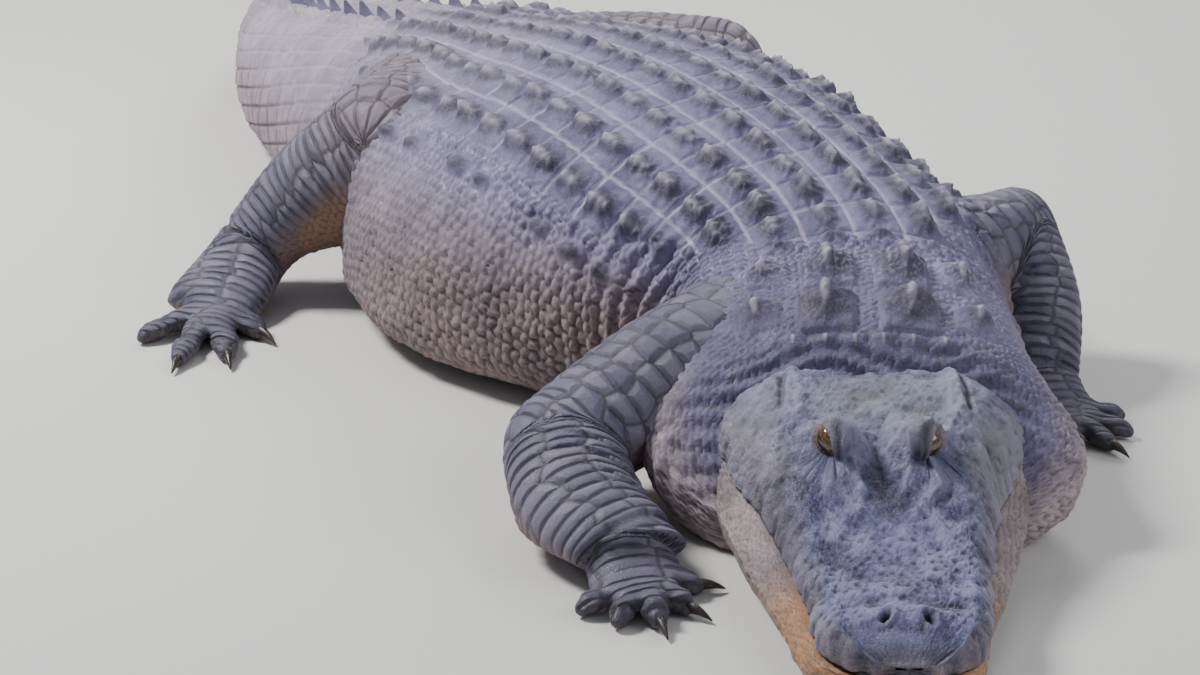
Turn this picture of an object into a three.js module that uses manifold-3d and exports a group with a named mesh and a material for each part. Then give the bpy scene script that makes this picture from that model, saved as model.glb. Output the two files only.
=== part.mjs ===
// American alligator, full grown, lying flat on its belly with the head low, the neck and trunk bent,
// the limbs sprawled and the tail curving away behind. A still, life-size model, in millimetres.
// The snout points to -Y, the animal's left side is +X, and z = 0 is the floor that it lies on.
// Every body piece is a loft along one bent midline, whose stations are counted from the snout tip.
import * as THREE from "three";
import { mergeVertices } from "three/addons/utils/BufferGeometryUtils.js";
import Module from "manifold-3d";

const wasm = await Module();
wasm.setup();

// Driving sizes
const TOTAL_LENGTH = 3400; // snout tip to tail tip, along the midline
const ORIGIN_STATION = 1120; // the midline station that lies over the origin
const GAP = 0.3; // clearance between two nodes that meet
const NECK_FRONT = 345;
const NECK_BACK = 660;
const TRUNK_BACK = 1660;
const TAIL_CUTS = [2200, 2760];
const HEAD_BACK = 470;
const RING_STEP = 64; // spacing of the rings of trunk and tail
const EYE_RADIUS = 21;
const EYE_AT = { side: 42, station: 316, height: 145 };
const LID_THICKNESS = 4;
const SCUTE_ROW = 56; // spacing of the transverse rows of plates on the back
const SCUTE_SINK = 9; // how far a plate's root goes into the skin

// Direction of the midline, degrees from +Y towards +X, by station
const HEADING = [
  [0, 29], [440, 29], [560, 30], [680, 17], [800, 2], [950, -5], [1100, -4.5], [1300, -2],
  [1500, -6], [1700, -10], [2000, 0], [2400, 16], [2800, 32], [3400, 48],
];

// Neck, trunk and tail: station, half width, top, height of the widest place, bottom
const BODY = [
  [345, 140, 46, 40, -20],
  [372, 186, 78, 56, -20],
  [402, 222, 118, 74, -18],
  [440, 228, 166, 88, -16],
  [470, 220, 196, 94, -15],
  [510, 205, 216, 98, -15],
  [580, 192, 233, 102, -15],
  [680, 200, 260, 92, -14],
  [800, 244, 292, 76, -14],
  [950, 314, 326, 64, -14],
  [1120, 368, 346, 62, -14],
  [1300, 358, 342, 66, -14],
  [1450, 306, 326, 82, -12],
  [1600, 254, 308, 100, -10],
  [1750, 217, 292, 108, -8],
  [1950, 168, 262, 108, -6],
  [2250, 115, 215, 100, -5],
  [2600, 70, 168, 82, -4],
  [3000, 38, 115, 58, -3],
  [3300, 16, 60, 30, -2],
  [3400, 5, 26, 13, 0],
];

// Skull and upper jaw: station, top, deck half width, deck edge height, side half width, side height,
// lip half width, lip height
const SKULL = [
  [0, 60, 22, 57, 29, 52, 26, 45],
  [9, 72, 38, 69, 49, 58, 45, 44],
  [24, 84, 50, 79, 66, 62, 62, 43],
  [45, 89, 54, 83, 77, 65, 74, 44],
  [75, 88, 54, 82, 82, 66, 79, 49],
  [110, 88, 57, 82, 84, 67, 82, 45],
  [150, 90, 60, 86, 88, 69, 87, 46],
  [200, 96, 64, 93, 95, 74, 97, 52],
  [240, 106, 66, 105, 102, 82, 106, 59],
  [270, 118, 68, 118, 109, 91, 113, 65],
  [300, 134, 72, 134, 115, 99, 121, 71],
  [340, 150, 76, 152, 129, 109, 137, 79],
  [380, 164, 78, 167, 144, 121, 150, 90],
  [415, 169, 79, 172, 154, 127, 159, 97],
  [445, 168, 77, 169, 153, 125, 158, 97],
  [470, 160, 70, 157, 138, 115, 144, 96],
];

// How far the snout lies to the left of the midline, by station
const SNOUT_SHIFT = [[0, 7], [60, 8], [150, 8], [230, 5], [290, 1], [320, 0], [470, 0]];

// Lower jaw: station, half width, height of the widest place
const JAW = [
  [4, 24, 22], [14, 48, 22], [30, 68, 22], [50, 82, 24], [80, 90, 26], [115, 96, 26], [150, 104, 28],
  [200, 120, 32], [240, 131, 36], [280, 142, 40], [330, 154, 45], [380, 162, 52], [420, 160, 56],
  [450, 150, 56], [470, 136, 54],
];

// Limbs: upper leg, lower leg and palm as paths of [x, y, z, half width, half height]; each has round ends.
// A toe is [x, y, radius, 1 where it has a claw].
const LIMBS = {
  fore_right: {
    upper: [[-95, -420, 130, 68, 68], [-230, -445, 126, 66, 68], [-392, -490, 80, 58, 62]],
    lower: [[-392, -490, 76, 58, 60], [-410, -575, 54, 56, 54], [-396, -655, 34, 48, 36]],
    palm: [[-396, -655, 32, 46, 32], [-406, -700, 18, 50, 20]],
    toes: [
      [-350, -718, 12, 1], [-381, -756, 12, 1], [-420, -769, 12, 1], [-455, -752, 11, 0], [-474, -712, 11, 0],
    ],
  },
  fore_left: {
    upper: [[70, -385, 135, 68, 68], [190, -355, 150, 64, 66], [318, -316, 164, 54, 60]],
    lower: [[318, -316, 160, 54, 58], [298, -400, 98, 52, 52], [256, -470, 38, 45, 34]],
    palm: [[256, -470, 34, 44, 32], [236, -524, 18, 50, 20]],
    toes: [
      [178, -570, 12, 1], [204, -606, 12, 1], [246, -614, 12, 1], [288, -592, 11, 0], [312, -546, 11, 0],
    ],
  },
  hind_right: {
    upper: [[-60, 500, 180, 88, 88], [-168, 386, 198, 82, 82], [-272, 264, 220, 76, 78]],
    lower: [[-272, 264, 216, 76, 78], [-352, 314, 142, 68, 70], [-428, 352, 64, 62, 50]],
    palm: [[-428, 352, 56, 58, 44], [-510, 272, 26, 72, 28]],
    toes: [[-486, 176, 15, 1], [-548, 118, 15, 1], [-606, 130, 14, 1], [-622, 226, 13, 0]],
  },
  hind_left: {
    upper: [[70, 560, 180, 90, 90], [190, 470, 204, 84, 90], [290, 372, 214, 76, 82]],
    lower: [[290, 372, 208, 76, 78], [350, 410, 132, 64, 66], [404, 452, 56, 58, 46]],
    palm: [[404, 452, 50, 56, 42], [470, 360, 26, 74, 28]],
    toes: [[418, 290, 15, 1], [480, 234, 15, 1], [540, 228, 14, 1], [590, 312, 13, 0]],
  },
};

// Plates of the neck: [station, distance from the midline over the skin, width, length, height]
const NUCHALS = [
  [468, 15, 27, 24, 9], [469, 46, 28, 24, 9], [472, 80, 28, 24, 8],
  [512, 44, 68, 66, 30], [520, 118, 54, 50, 20],
  [588, 40, 66, 66, 30], [598, 108, 56, 52, 20],
];

// Plates of the back by row: station of the first and last row, columns on each side, height of the keel
const BACK_ROWS = [
  { from: 664, to: 724, columns: 2, width: 58, height: 18 },
  { from: 724, to: 836, columns: 3, width: 60, height: 19 },
  { from: 836, to: 948, columns: 4, width: 62, height: 20 },
  { from: 948, to: 1340, columns: 4, width: 68, height: 20 },
  { from: 1340, to: 1452, columns: 4, width: 62, height: 20 },
  { from: 1452, to: 1660, columns: 3, width: 58, height: 20 },
];

// Plates of the tail: [station, distance between the two crests, height of a crest plate, height of the
// inner plates]
const TAIL_CRESTS = [
  [1690, 128, 20, 14], [1900, 104, 26, 10], [2100, 78, 32, 0], [2300, 50, 38, 0], [2480, 20, 42, 0],
  [2520, 0, 46, 0], [2800, 0, 42, 0], [3100, 0, 30, 0], [3340, 0, 12, 0],
];
const TAIL_ROW = 54; // spacing of the tail's rows

// Smooth curve through the rows of a table: cubic Hermite with the neighbours' slopes
function curve(table, s, column = 1) {
  const n = table.length;
  const x = Math.min(Math.max(s, table[0][0]), table[n - 1][0]);
  let i = 0;
  while (i < n - 2 && x >= table[i + 1][0]) i += 1;
  const slope = (k) => {
    const a = table[Math.max(k - 1, 0)];
    const b = table[Math.min(k + 1, n - 1)];
    return (b[column] - a[column]) / (b[0] - a[0]);
  };
  const h = table[i + 1][0] - table[i][0];
  const u = (x - table[i][0]) / h;
  const a = (2 * u ** 3 - 3 * u ** 2 + 1) * table[i][column] + (u ** 3 - 2 * u ** 2 + u) * h * slope(i);
  return a + (3 * u ** 2 - 2 * u ** 3) * table[i + 1][column] + (u ** 3 - u ** 2) * h * slope(i + 1);
}

// The midline in plan, sampled every 5 mm, with the origin under ORIGIN_STATION
const STEP = 5;
const midline = [];
{
  let x = 0;
  let y = 0;
  for (let s = 0; s <= TOTAL_LENGTH; s += STEP) {
    const a = THREE.MathUtils.degToRad(curve(HEADING, s));
    if (s > 0) {
      const b = midline[midline.length - 1].a;
      x += ((Math.sin(a) + Math.sin(b)) / 2) * STEP;
      y += ((Math.cos(a) + Math.cos(b)) / 2) * STEP;
    }
    midline.push({ x, y, a });
  }
  const o = midline[ORIGIN_STATION / STEP];
  const { x: ox, y: oy } = o;
  for (const p of midline) {
    p.x -= ox;
    p.y -= oy;
  }
}

// A point given by station, sideways distance and height, in the model's frame
function place(s, side, z) {
  const t = Math.min(Math.max(s / STEP, 0), midline.length - 1.000001);
  const i = Math.floor(t);
  const f = t - i;
  const p = midline[i];
  const q = midline[i + 1];
  const a = p.a + (q.a - p.a) * f;
  const x = p.x + (q.x - p.x) * f + Math.cos(a) * side;
  const y = p.y + (q.y - p.y) * f - Math.sin(a) * side;
  return new THREE.Vector3(x, y, z);
}

// Cross-section of neck, trunk and tail at angle t (0 is the animal's left, a quarter turn is the top)
function bodyPoint(s, t, grow = 0) {
  const [w, top, mid, low] = [1, 2, 3, 4].map((c) => curve(BODY, s, c));
  const c = Math.cos(t);
  const d = Math.sin(t);
  const side = (w + grow) * Math.sign(c) * Math.abs(c) ** (d > 0 ? 0.93 : 0.6);
  const z = d > 0 ? mid + (top + grow - mid) * d : mid - (mid - low + grow) * (-d) ** 0.8;
  return place(s, side, Math.max(z, grow > 0 ? -grow : 0));
}

// Rises and hollows on the top of the head: [side, station, height, reach sideways, reach along]
const HEAD_FORMS = [
  [42, 318, 24, 19, 24], // mound of the eye
  [0, 312, -9, 16, 30], // hollow between the eyes
  [44, 272, 5, 10, 22], // ridge in front of the eye
  [19, 42, 7, 13, 14], // swelling round the nostril
  [50, 150, 3, 20, 30], // side of the snout
];

function lift(s, x) {
  let z = 0;
  for (const [side, station, height, wide, long] of HEAD_FORMS) {
    z += height * Math.exp(-(((Math.abs(x) - side) / wide) ** 2) - ((s - station) / long) ** 2);
  }
  return z;
}

// One ring round the upper or the lower half of the head, flat where the two meet
function headRing(s, grow, upper) {
  const v = [1, 2, 3, 4, 5, 6, 7].map((c) => curve(SKULL, s, c));
  const [top, deck, deckZ, wide, wideZ, lip, lipZ] = v;
  const half = [];
  if (upper) {
    for (const f of [0, 0.28, 0.55, 0.8, 1]) {
      half.push([deck * f, top + (deckZ - top) * f * f + lift(s, deck * f) + grow]);
    }
    for (const f of [0.35, 0.7, 1]) {
      const x = deck + (wide - deck) * f;
      const round = 7 * Math.sin(f * Math.PI) + lift(s, x) * (1 - f);
      half.push([x + grow, deckZ + (wideZ - deckZ) * f ** 1.3 + round + grow * (1 - f)]);
    }
    half.push([(wide + lip) / 2 + 2 + grow, (wideZ + lipZ) / 2], [lip + grow, lipZ - grow]);
    half.push([lip * 0.5, lipZ - grow], [0, lipZ - grow]);
  } else {
    const w = curve(JAW, s, 1) + grow;
    const wz = curve(JAW, s, 2);
    const tz = lipZ - GAP + grow;
    half.push([0, tz], [w * 0.5, tz], [Math.min(lip - 3, w - 2), tz], [w - 1, (wz + tz) / 2 + 2], [w, wz]);
    half.push([w * 0.9, wz * 0.35], [w * 0.72, -grow], [w * 0.36, -grow], [0, -grow]);
  }
  const shift = upper ? curve(SNOUT_SHIFT, s) : 0;
  const ring = half.map(([x, z]) => place(s, shift + x, z));
  for (let i = half.length - 2; i > 0; i -= 1) ring.push(place(s, shift - half[i][0], half[i][1]));
  return ring;
}

// A closed solid from points and triangles, turned face out
function closed(points, faces) {
  const make = (tri) => new wasm.Manifold(new wasm.Mesh({
    numProp: 3,
    vertProperties: new Float32Array(points.flat()),
    triVerts: new Uint32Array(tri),
  }));
  const solid = make(faces);
  if (solid.volume() > 0) return solid;
  const turned = [];
  for (let i = 0; i < faces.length; i += 3) turned.push(faces[i], faces[i + 2], faces[i + 1]);
  return make(turned);
}

// Closed solid through rings of equal length; each end is a fan about its middle
function loft(rings) {
  const n = rings[0].length;
  const points = rings.flat().map((p) => [p.x, p.y, p.z]);
  const faces = [];
  for (let i = 0; i + 1 < rings.length; i += 1) {
    for (let j = 0; j < n; j += 1) {
      const k = (j + 1) % n;
      const [a, b, c, d] = [i * n + j, i * n + k, (i + 1) * n + k, (i + 1) * n + j];
      if ((i + j) % 2) faces.push(a, b, c, a, c, d);
      else faces.push(a, b, d, b, c, d);
    }
  }
  for (const [start, flip] of [[0, false], [(rings.length - 1) * n, true]]) {
    const m = new THREE.Vector3();
    for (let j = 0; j < n; j += 1) m.add(new THREE.Vector3(...points[start + j]));
    m.divideScalar(n);
    points.push([m.x, m.y, m.z]);
    for (let j = 0; j < n; j += 1) {
      const k = (j + 1) % n;
      const e = points.length - 1;
      if (flip) faces.push(e, start + j, start + k);
      else faces.push(e, start + k, start + j);
    }
  }
  return closed(points, faces);
}

// A three.js geometry as a solid
function solidOf(geometry) {
  const g = geometry.clone();
  g.deleteAttribute("normal");
  g.deleteAttribute("uv");
  const m = mergeVertices(g, 1e-3);
  return new wasm.Manifold(new wasm.Mesh({
    numProp: 3,
    vertProperties: m.attributes.position.array,
    triVerts: new Uint32Array(m.index.array),
  }));
}

// The largest closed surface of a solid
function largest(solid) {
  return solid.decompose().sort((a, b) => b.volume() - a.volume())[0];
}

function meshOf(name, solid, material) {
  const m = solid.getMesh();
  const g = new THREE.BufferGeometry();
  const count = m.vertProperties.length / m.numProp;
  const xyz = new Float32Array(count * 3);
  for (let i = 0; i < count; i += 1) {
    for (let j = 0; j < 3; j += 1) xyz[i * 3 + j] = m.vertProperties[i * m.numProp + j];
  }
  g.setAttribute("position", new THREE.BufferAttribute(xyz, 3));
  g.setIndex(new THREE.BufferAttribute(new Uint32Array(m.triVerts), 1));
  g.computeVertexNormals();
  const mesh = new THREE.Mesh(g, material);
  mesh.name = name;
  return mesh;
}

// Materials
const skin = new THREE.MeshStandardMaterial({ color: 0x6b6577, roughness: 0.75, metalness: 0 });
const eyeGloss = new THREE.MeshStandardMaterial({ color: 0x4a3a24, roughness: 0.15, metalness: 0 });
const horn = new THREE.MeshStandardMaterial({ color: 0x2e2a2c, roughness: 0.5, metalness: 0 });

const alligator = new THREE.Group();

// Neck, trunk and tail
function bodyRings(from, to, sides, step, grow = 0) {
  const count = Math.max(2, Math.round((to - from) / step));
  const rings = [];
  for (let i = 0; i <= count; i += 1) {
    const s = from + ((to - from) * i) / count;
    const ring = [];
    for (let j = 0; j < sides; j += 1) ring.push(bodyPoint(s, (j / sides) * Math.PI * 2, grow));
    rings.push(ring);
  }
  return rings;
}

// Angle on the cross-section that lies a given way over the skin from the midline, positive to the left
function angleAt(s, arc) {
  let t = Math.PI / 2;
  let last = bodyPoint(s, t);
  let left = Math.abs(arc);
  const turn = (-Math.sign(arc) * Math.PI) / 120;
  while (left > 0 && Math.abs(t - Math.PI / 2) < Math.PI / 2) {
    const next = bodyPoint(s, t + turn);
    const d = next.distanceTo(last);
    if (d >= left) return t + (turn * left) / d;
    left -= d;
    t += turn;
    last = next;
  }
  return t;
}

// A keeled plate: four sunk corners that rise to a ridge, highest near its rear end
function plate(s, arc, width, length, height) {
  const t = angleAt(s, arc);
  const p = bodyPoint(s, t);
  const along = bodyPoint(s + 4, t).sub(bodyPoint(s - 4, t)).normalize();
  const across = bodyPoint(s, t - 0.03).sub(bodyPoint(s, t + 0.03)).normalize();
  const up = new THREE.Vector3().crossVectors(across, along).normalize();
  const at = (x, y, z) => {
    const q = p.clone().addScaledVector(across, x).addScaledVector(along, y).addScaledVector(up, z);
    return [q.x, q.y, q.z];
  };
  const [w, l] = [width / 2, length / 2];
  const points = [
    at(-w, -l, -SCUTE_SINK), at(w, -l, -SCUTE_SINK), at(w, l, -SCUTE_SINK), at(-w, l, -SCUTE_SINK),
    at(0, -l * 0.55, height * 0.45), at(0, l * 0.5, height),
  ];
  return closed(points, [0, 2, 1, 0, 3, 2, 0, 1, 4, 1, 2, 5, 1, 5, 4, 2, 3, 5, 3, 0, 4, 3, 4, 5]);
}

// Small steady differences between like pieces
let seed = 7;
function vary(amount) {
  seed = (seed * 16807) % 2147483647;
  return 1 + amount * (seed / 1073741823.5 - 1);
}

// All plates whose rows lie between two stations, as one list of solids
function platesBetween(from, to) {
  const list = [];
  const add = (s, arc, width, length, height) => {
    if (s - length / 2 < from + 3 || s + length / 2 > to - 3) return;
    for (const sign of arc === 0 ? [0] : [1, -1]) {
      list.push(plate(s, sign * arc, width * vary(0.06), length * vary(0.05), height * vary(0.14)));
    }
  };
  for (const [s, arc, width, length, height] of NUCHALS) add(s, arc, width, length, height);
  for (const r of BACK_ROWS) {
    for (let s = r.from + SCUTE_ROW / 2; s <= r.to; s += SCUTE_ROW) {
      for (let c = 0; c < r.columns; c += 1) {
        const outer = c === r.columns - 1 ? 0.85 : 1;
        add(s, (c + 0.5) * r.width, r.width * 0.92 * outer, SCUTE_ROW * 0.92 * outer, r.height);
      }
    }
  }
  for (let s = TAIL_CRESTS[0][0]; s <= 3340; s += TAIL_ROW) {
    const [between, height, inner] = [1, 2, 3].map((c) => curve(TAIL_CRESTS, s, c));
    if (s < 2500) add(s, Math.max(between / 2, 11), 26, TAIL_ROW * 0.95, height);
    else add(s, 0, 22, TAIL_ROW * 0.95, height);
    if (s < 1960) add(s, between / 6, 34, TAIL_ROW * 0.85, inner);
  }
  return list;
}

// A plate that a limb would touch is left out
function withPlates(solid, from, to) {
  const free = (p) => limbSolids.every((l) => p.intersect(l).volume() < 0.001);
  const clear = platesBetween(from, to).filter(free);
  return largest(wasm.Manifold.union([solid, ...clear]));
}

const neckStations = [345, 352, 362, 380, 405, 440, 480, 530, 590, 660];
function neckSolid(grow, extra) {
  const rings = neckStations.map((s, i) => {
    const end = i === neckStations.length - 1 ? s + extra : s;
    const ring = [];
    for (let j = 0; j < 28; j += 1) ring.push(bodyPoint(end, (j / 28) * Math.PI * 2, grow));
    return ring;
  });
  return loft(rings);
}

// Head
const skullStations = [
  0, 4, 10, 24, 42, 62, 90, 130, 180, 225, 255, 275, 292, 306, 320, 336, 356, 385, 420, 450, 470,
];
function headSolid(upper, grow) {
  const first = upper ? 0 : 4;
  const list = skullStations.filter((s) => s >= first).map((s) => Math.max(s, first));
  const rings = list.map((s) => headRing(s, grow, upper));
  if (grow > 0) {
    const back = place(1, 0, 0).sub(place(0, 0, 0)).multiplyScalar(grow);
    rings.push(headRing(HEAD_BACK, grow, upper).map((p) => p.clone().add(back)));
  }
  return loft(rings);
}

function headFrame(side, station, z) {
  const m = new THREE.Matrix4();
  const a = THREE.MathUtils.degToRad(curve(HEADING, 200));
  m.makeRotationZ(-a);
  m.setPosition(place(station, side, z));
  return m;
}

// An almond-shaped prism that opens the lids, aimed outwards, up and a little forwards
function lidOpening(sideSign) {
  const shape = new THREE.Shape();
  shape.moveTo(-20, 0);
  shape.quadraticCurveTo(0, 17, 20, 0);
  shape.quadraticCurveTo(0, -13, -20, 0);
  const g = new THREE.ExtrudeGeometry(shape, { depth: 40, bevelEnabled: false, curveSegments: 6 });
  const m = new THREE.Matrix4();
  const x = new THREE.Vector3(sideSign * -0.32, -0.6, -0.72);
  const z = new THREE.Vector3(sideSign * 0.78, -0.6, 0.17).normalize();
  const y = new THREE.Vector3().crossVectors(z, x).normalize();
  x.crossVectors(y, z);
  m.makeBasis(x, y, z);
  g.applyMatrix4(m);
  return g;
}

let head = headSolid(true, 0);
const eyes = {};
for (const [name, sign] of [["eye_left", 1], ["eye_right", -1]]) {
  const frame = headFrame(sign * EYE_AT.side, EYE_AT.station, EYE_AT.height);
  const ball = (r, n) => {
    const sphere = new THREE.SphereGeometry(r, n, n / 2).rotateX(Math.PI / 2);
    return solidOf(sphere.applyMatrix4(frame));
  };
  const lid = new THREE.SphereGeometry(EYE_RADIUS + LID_THICKNESS, 16, 10).scale(1, 1.15, 1);
  head = head.add(solidOf(lid.applyMatrix4(frame)));
  head = head.subtract(ball(EYE_RADIUS + GAP, 14));
  head = head.subtract(solidOf(lidOpening(sign).applyMatrix4(frame)));
  eyes[name] = ball(EYE_RADIUS, 14);
}
for (const sign of [1, -1]) {
  const pit = new THREE.SphereGeometry(7, 10, 8).scale(1, 1.5, 1.2).rotateZ(sign * 0.5);
  head = head.subtract(solidOf(pit.applyMatrix4(headFrame(curve(SNOUT_SHIFT, 40) + sign * 19, 40, 92))));
}
head = largest(head);
const jaw = headSolid(false, 0);
const headGrown = headSolid(true, GAP).add(headSolid(false, GAP));

alligator.add(meshOf("head", head, skin));
alligator.add(meshOf("lower_jaw", jaw, skin));
alligator.add(meshOf("eye_left", eyes.eye_left, eyeGloss));
alligator.add(meshOf("eye_right", eyes.eye_right, eyeGloss));

// The body, a little larger, is what the limbs are cut back to
const bodyGrown = loft(bodyRings(NECK_BACK - 1, TRUNK_BACK + 1, 26, RING_STEP, GAP + 0.1))
  .add(neckSolid(GAP + 0.1, 1))
  .add(loft(bodyRings(TRUNK_BACK - 1, TAIL_CUTS[0], 22, 60, GAP + 0.1)));

function pathAt(path, u) {
  const table = path.map((p, i) => [i, ...p]);
  return [1, 2, 3, 4, 5].map((c) => curve(table, u, c));
}

// One ring across a path; bulge from 0 to 1 goes along a round end, backwards at the start
function limbRing(path, u, sides, grow = 0, bulge = 0) {
  const [x, y, z, w, h] = pathAt(path, u);
  const e = 0.02;
  const p = new THREE.Vector3(...pathAt(path, Math.max(u - e, 0)).slice(0, 3));
  const q = new THREE.Vector3(...pathAt(path, Math.min(u + e, path.length - 1)).slice(0, 3));
  const along = q.sub(p).normalize();
  const side = new THREE.Vector3().crossVectors(along, new THREE.Vector3(0, 0, 1)).normalize();
  const up = new THREE.Vector3().crossVectors(side, along);
  const shift = Math.sin((Math.abs(bulge) * Math.PI) / 2) * (Math.min(w, h) + grow) * Math.sign(bulge);
  const f = Math.cos((Math.abs(bulge) * Math.PI) / 2);
  const ring = [];
  for (let j = 0; j < sides; j += 1) {
    const t = (j / sides) * Math.PI * 2;
    const r = new THREE.Vector3(x, y, z).addScaledVector(along, shift);
    r.addScaledVector(side, (w + grow) * f * Math.cos(t)).addScaledVector(up, (h + grow) * f * Math.sin(t));
    r.z = Math.max(r.z, -grow);
    ring.push(r);
  }
  return ring;
}

function sweep(path, count, sides, grow = 0, round = [-0.8, -0.45, 0.45, 0.8]) {
  const last = path.length - 1;
  const rings = round.filter((b) => b < 0).map((b) => limbRing(path, 0, sides, grow, b));
  for (let i = 0; i <= count; i += 1) rings.push(limbRing(path, (last * i) / count, sides, grow));
  rings.push(...round.filter((b) => b > 0).map((b) => limbRing(path, last, sides, grow, b)));
  return loft(rings);
}

// A toe runs from the ball of the foot to its tip, with a slight arch and a swelling at its end
function toePath(from, tip, radius) {
  const a = new THREE.Vector3(...from);
  const b = new THREE.Vector3(tip[0], tip[1], radius * 0.55);
  const rows = [];
  for (const [f, lift, r] of [[0, 2, 1.45], [0.45, 8, 1.3], [0.8, 5, 1.15], [1, 2, 0.75]]) {
    const p = a.clone().lerp(b, f);
    rows.push([p.x, p.y, p.z + lift, radius * r, radius * r * 0.9]);
  }
  return rows;
}

// A blunt claw that points where the toe does and bends down to just over the floor
function clawSolid(path, radius) {
  const [x, y, z] = path[path.length - 1];
  const tip = new THREE.Vector3(x, y, z);
  const [bx, by] = path[path.length - 2];
  const along = new THREE.Vector3(x - bx, y - by, 0).normalize();
  const side = new THREE.Vector3(along.y, -along.x, 0);
  const rings = [];
  for (const [f, r] of [[0, 0.5], [0.35, 0.44], [0.7, 0.3], [1, 0.13]]) {
    const c = tip.clone().addScaledVector(along, radius * (0.32 + f * 2.2));
    c.z = Math.max(z - f * f * radius * 0.4, radius * r + 0.3);
    const ring = [];
    for (let j = 0; j < 8; j += 1) {
      const t = (j / 8) * Math.PI * 2;
      const p = c.clone().addScaledVector(side, Math.cos(t) * radius * r * 0.9);
      p.z += Math.sin(t) * radius * r;
      ring.push(p);
    }
    rings.push(ring);
  }
  return loft(rings);
}

const limbSolids = [];
for (const [name, limb] of Object.entries(LIMBS)) {
  const upper = largest(sweep(limb.upper, 3, 12).subtract(bodyGrown));
  const upperGrown = sweep(limb.upper, 3, 12, GAP * 2);
  limbSolids.push(upperGrown, sweep(limb.lower, 4, 12, GAP * 2));
  const lower = largest(sweep(limb.lower, 4, 12).subtract(bodyGrown.add(upperGrown)));
  const lowerGrown = sweep(limb.lower, 4, 12, GAP * 2);
  let foot = sweep(limb.palm, 2, 12);
  const ball = limb.palm[1];
  limb.toes.forEach(([x, y, r, clawed], i) => {
    const dir = new THREE.Vector3(x - ball[0], y - ball[1], 0).normalize();
    const path = toePath([ball[0] + dir.x * 10, ball[1] + dir.y * 10, r * 0.95], [x, y], r);
    foot = foot.add(sweep(path, 4, 7, 0, []));
    if (clawed) alligator.add(meshOf(`claw_${name}_${i + 1}`, clawSolid(path, r), horn));
  });
  foot = largest(foot.subtract(lowerGrown.add(upperGrown).add(bodyGrown)));
  alligator.add(meshOf(`upper_leg_${name}`, upper, skin));
  alligator.add(meshOf(`lower_leg_${name}`, lower, skin));
  alligator.add(meshOf(`foot_${name}`, foot, skin));
}

// Neck, trunk and tail with their plates
function bodyPiece(from, to, sides, step) {
  return withPlates(loft(bodyRings(from + GAP, to, sides, step)), from, to);
}
const neck = withPlates(largest(neckSolid(0, 0).subtract(headGrown)), HEAD_BACK - 20, NECK_BACK);
const trunk = bodyPiece(NECK_BACK, TRUNK_BACK, 26, RING_STEP);
const tailBase = bodyPiece(TRUNK_BACK, TAIL_CUTS[0], 22, 60);
const tailMiddle = bodyPiece(...TAIL_CUTS, 18, 60);
const tailTip = bodyPiece(TAIL_CUTS[1], TOTAL_LENGTH, 14, 60);
alligator.add(meshOf("neck", neck, skin));
alligator.add(meshOf("torso", trunk, skin));
alligator.add(meshOf("tail_base", tailBase, skin));
alligator.add(meshOf("tail_middle", tailMiddle, skin));
alligator.add(meshOf("tail_tip", tailTip, skin));

export default alligator;
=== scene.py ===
"""Visual model of an adult American alligator lying on its belly, head low and turned to its right.
Sizes are in millimetres, as in the solids, and turned into metres when a mesh is made.
The midline runs from the snout tip (station 0) to the tail tip (station 3400)."""
import math
import bpy
import numpy as np
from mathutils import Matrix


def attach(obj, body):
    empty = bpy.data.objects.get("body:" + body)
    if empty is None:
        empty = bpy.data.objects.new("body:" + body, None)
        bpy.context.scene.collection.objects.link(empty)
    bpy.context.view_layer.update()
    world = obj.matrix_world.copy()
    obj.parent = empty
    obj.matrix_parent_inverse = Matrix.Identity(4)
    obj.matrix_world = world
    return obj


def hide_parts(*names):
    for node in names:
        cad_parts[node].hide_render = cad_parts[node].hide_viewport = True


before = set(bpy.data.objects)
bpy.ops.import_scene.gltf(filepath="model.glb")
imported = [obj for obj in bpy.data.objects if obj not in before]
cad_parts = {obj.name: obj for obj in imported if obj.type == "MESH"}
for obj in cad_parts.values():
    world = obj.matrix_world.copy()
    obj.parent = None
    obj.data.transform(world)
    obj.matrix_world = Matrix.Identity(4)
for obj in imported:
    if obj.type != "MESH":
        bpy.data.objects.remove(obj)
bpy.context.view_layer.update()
rng = np.random.default_rng(11)


# Camera
# Stands where the photograph was taken from, low in front of the animal and to its right.
scene = bpy.context.scene
cam_data = bpy.data.cameras.new("camera")
cam_data.lens = 75.0
cam_data.sensor_width = 36.0
cam_data.clip_end = 60
cam = bpy.data.objects.new("camera", cam_data)
scene.collection.objects.link(cam)
cam.location = (-1.464, -2.676, 1.102)
cam.rotation_euler = (math.radians(90 - 20.24), 0, math.radians(-27.2))
scene.camera = cam


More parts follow.
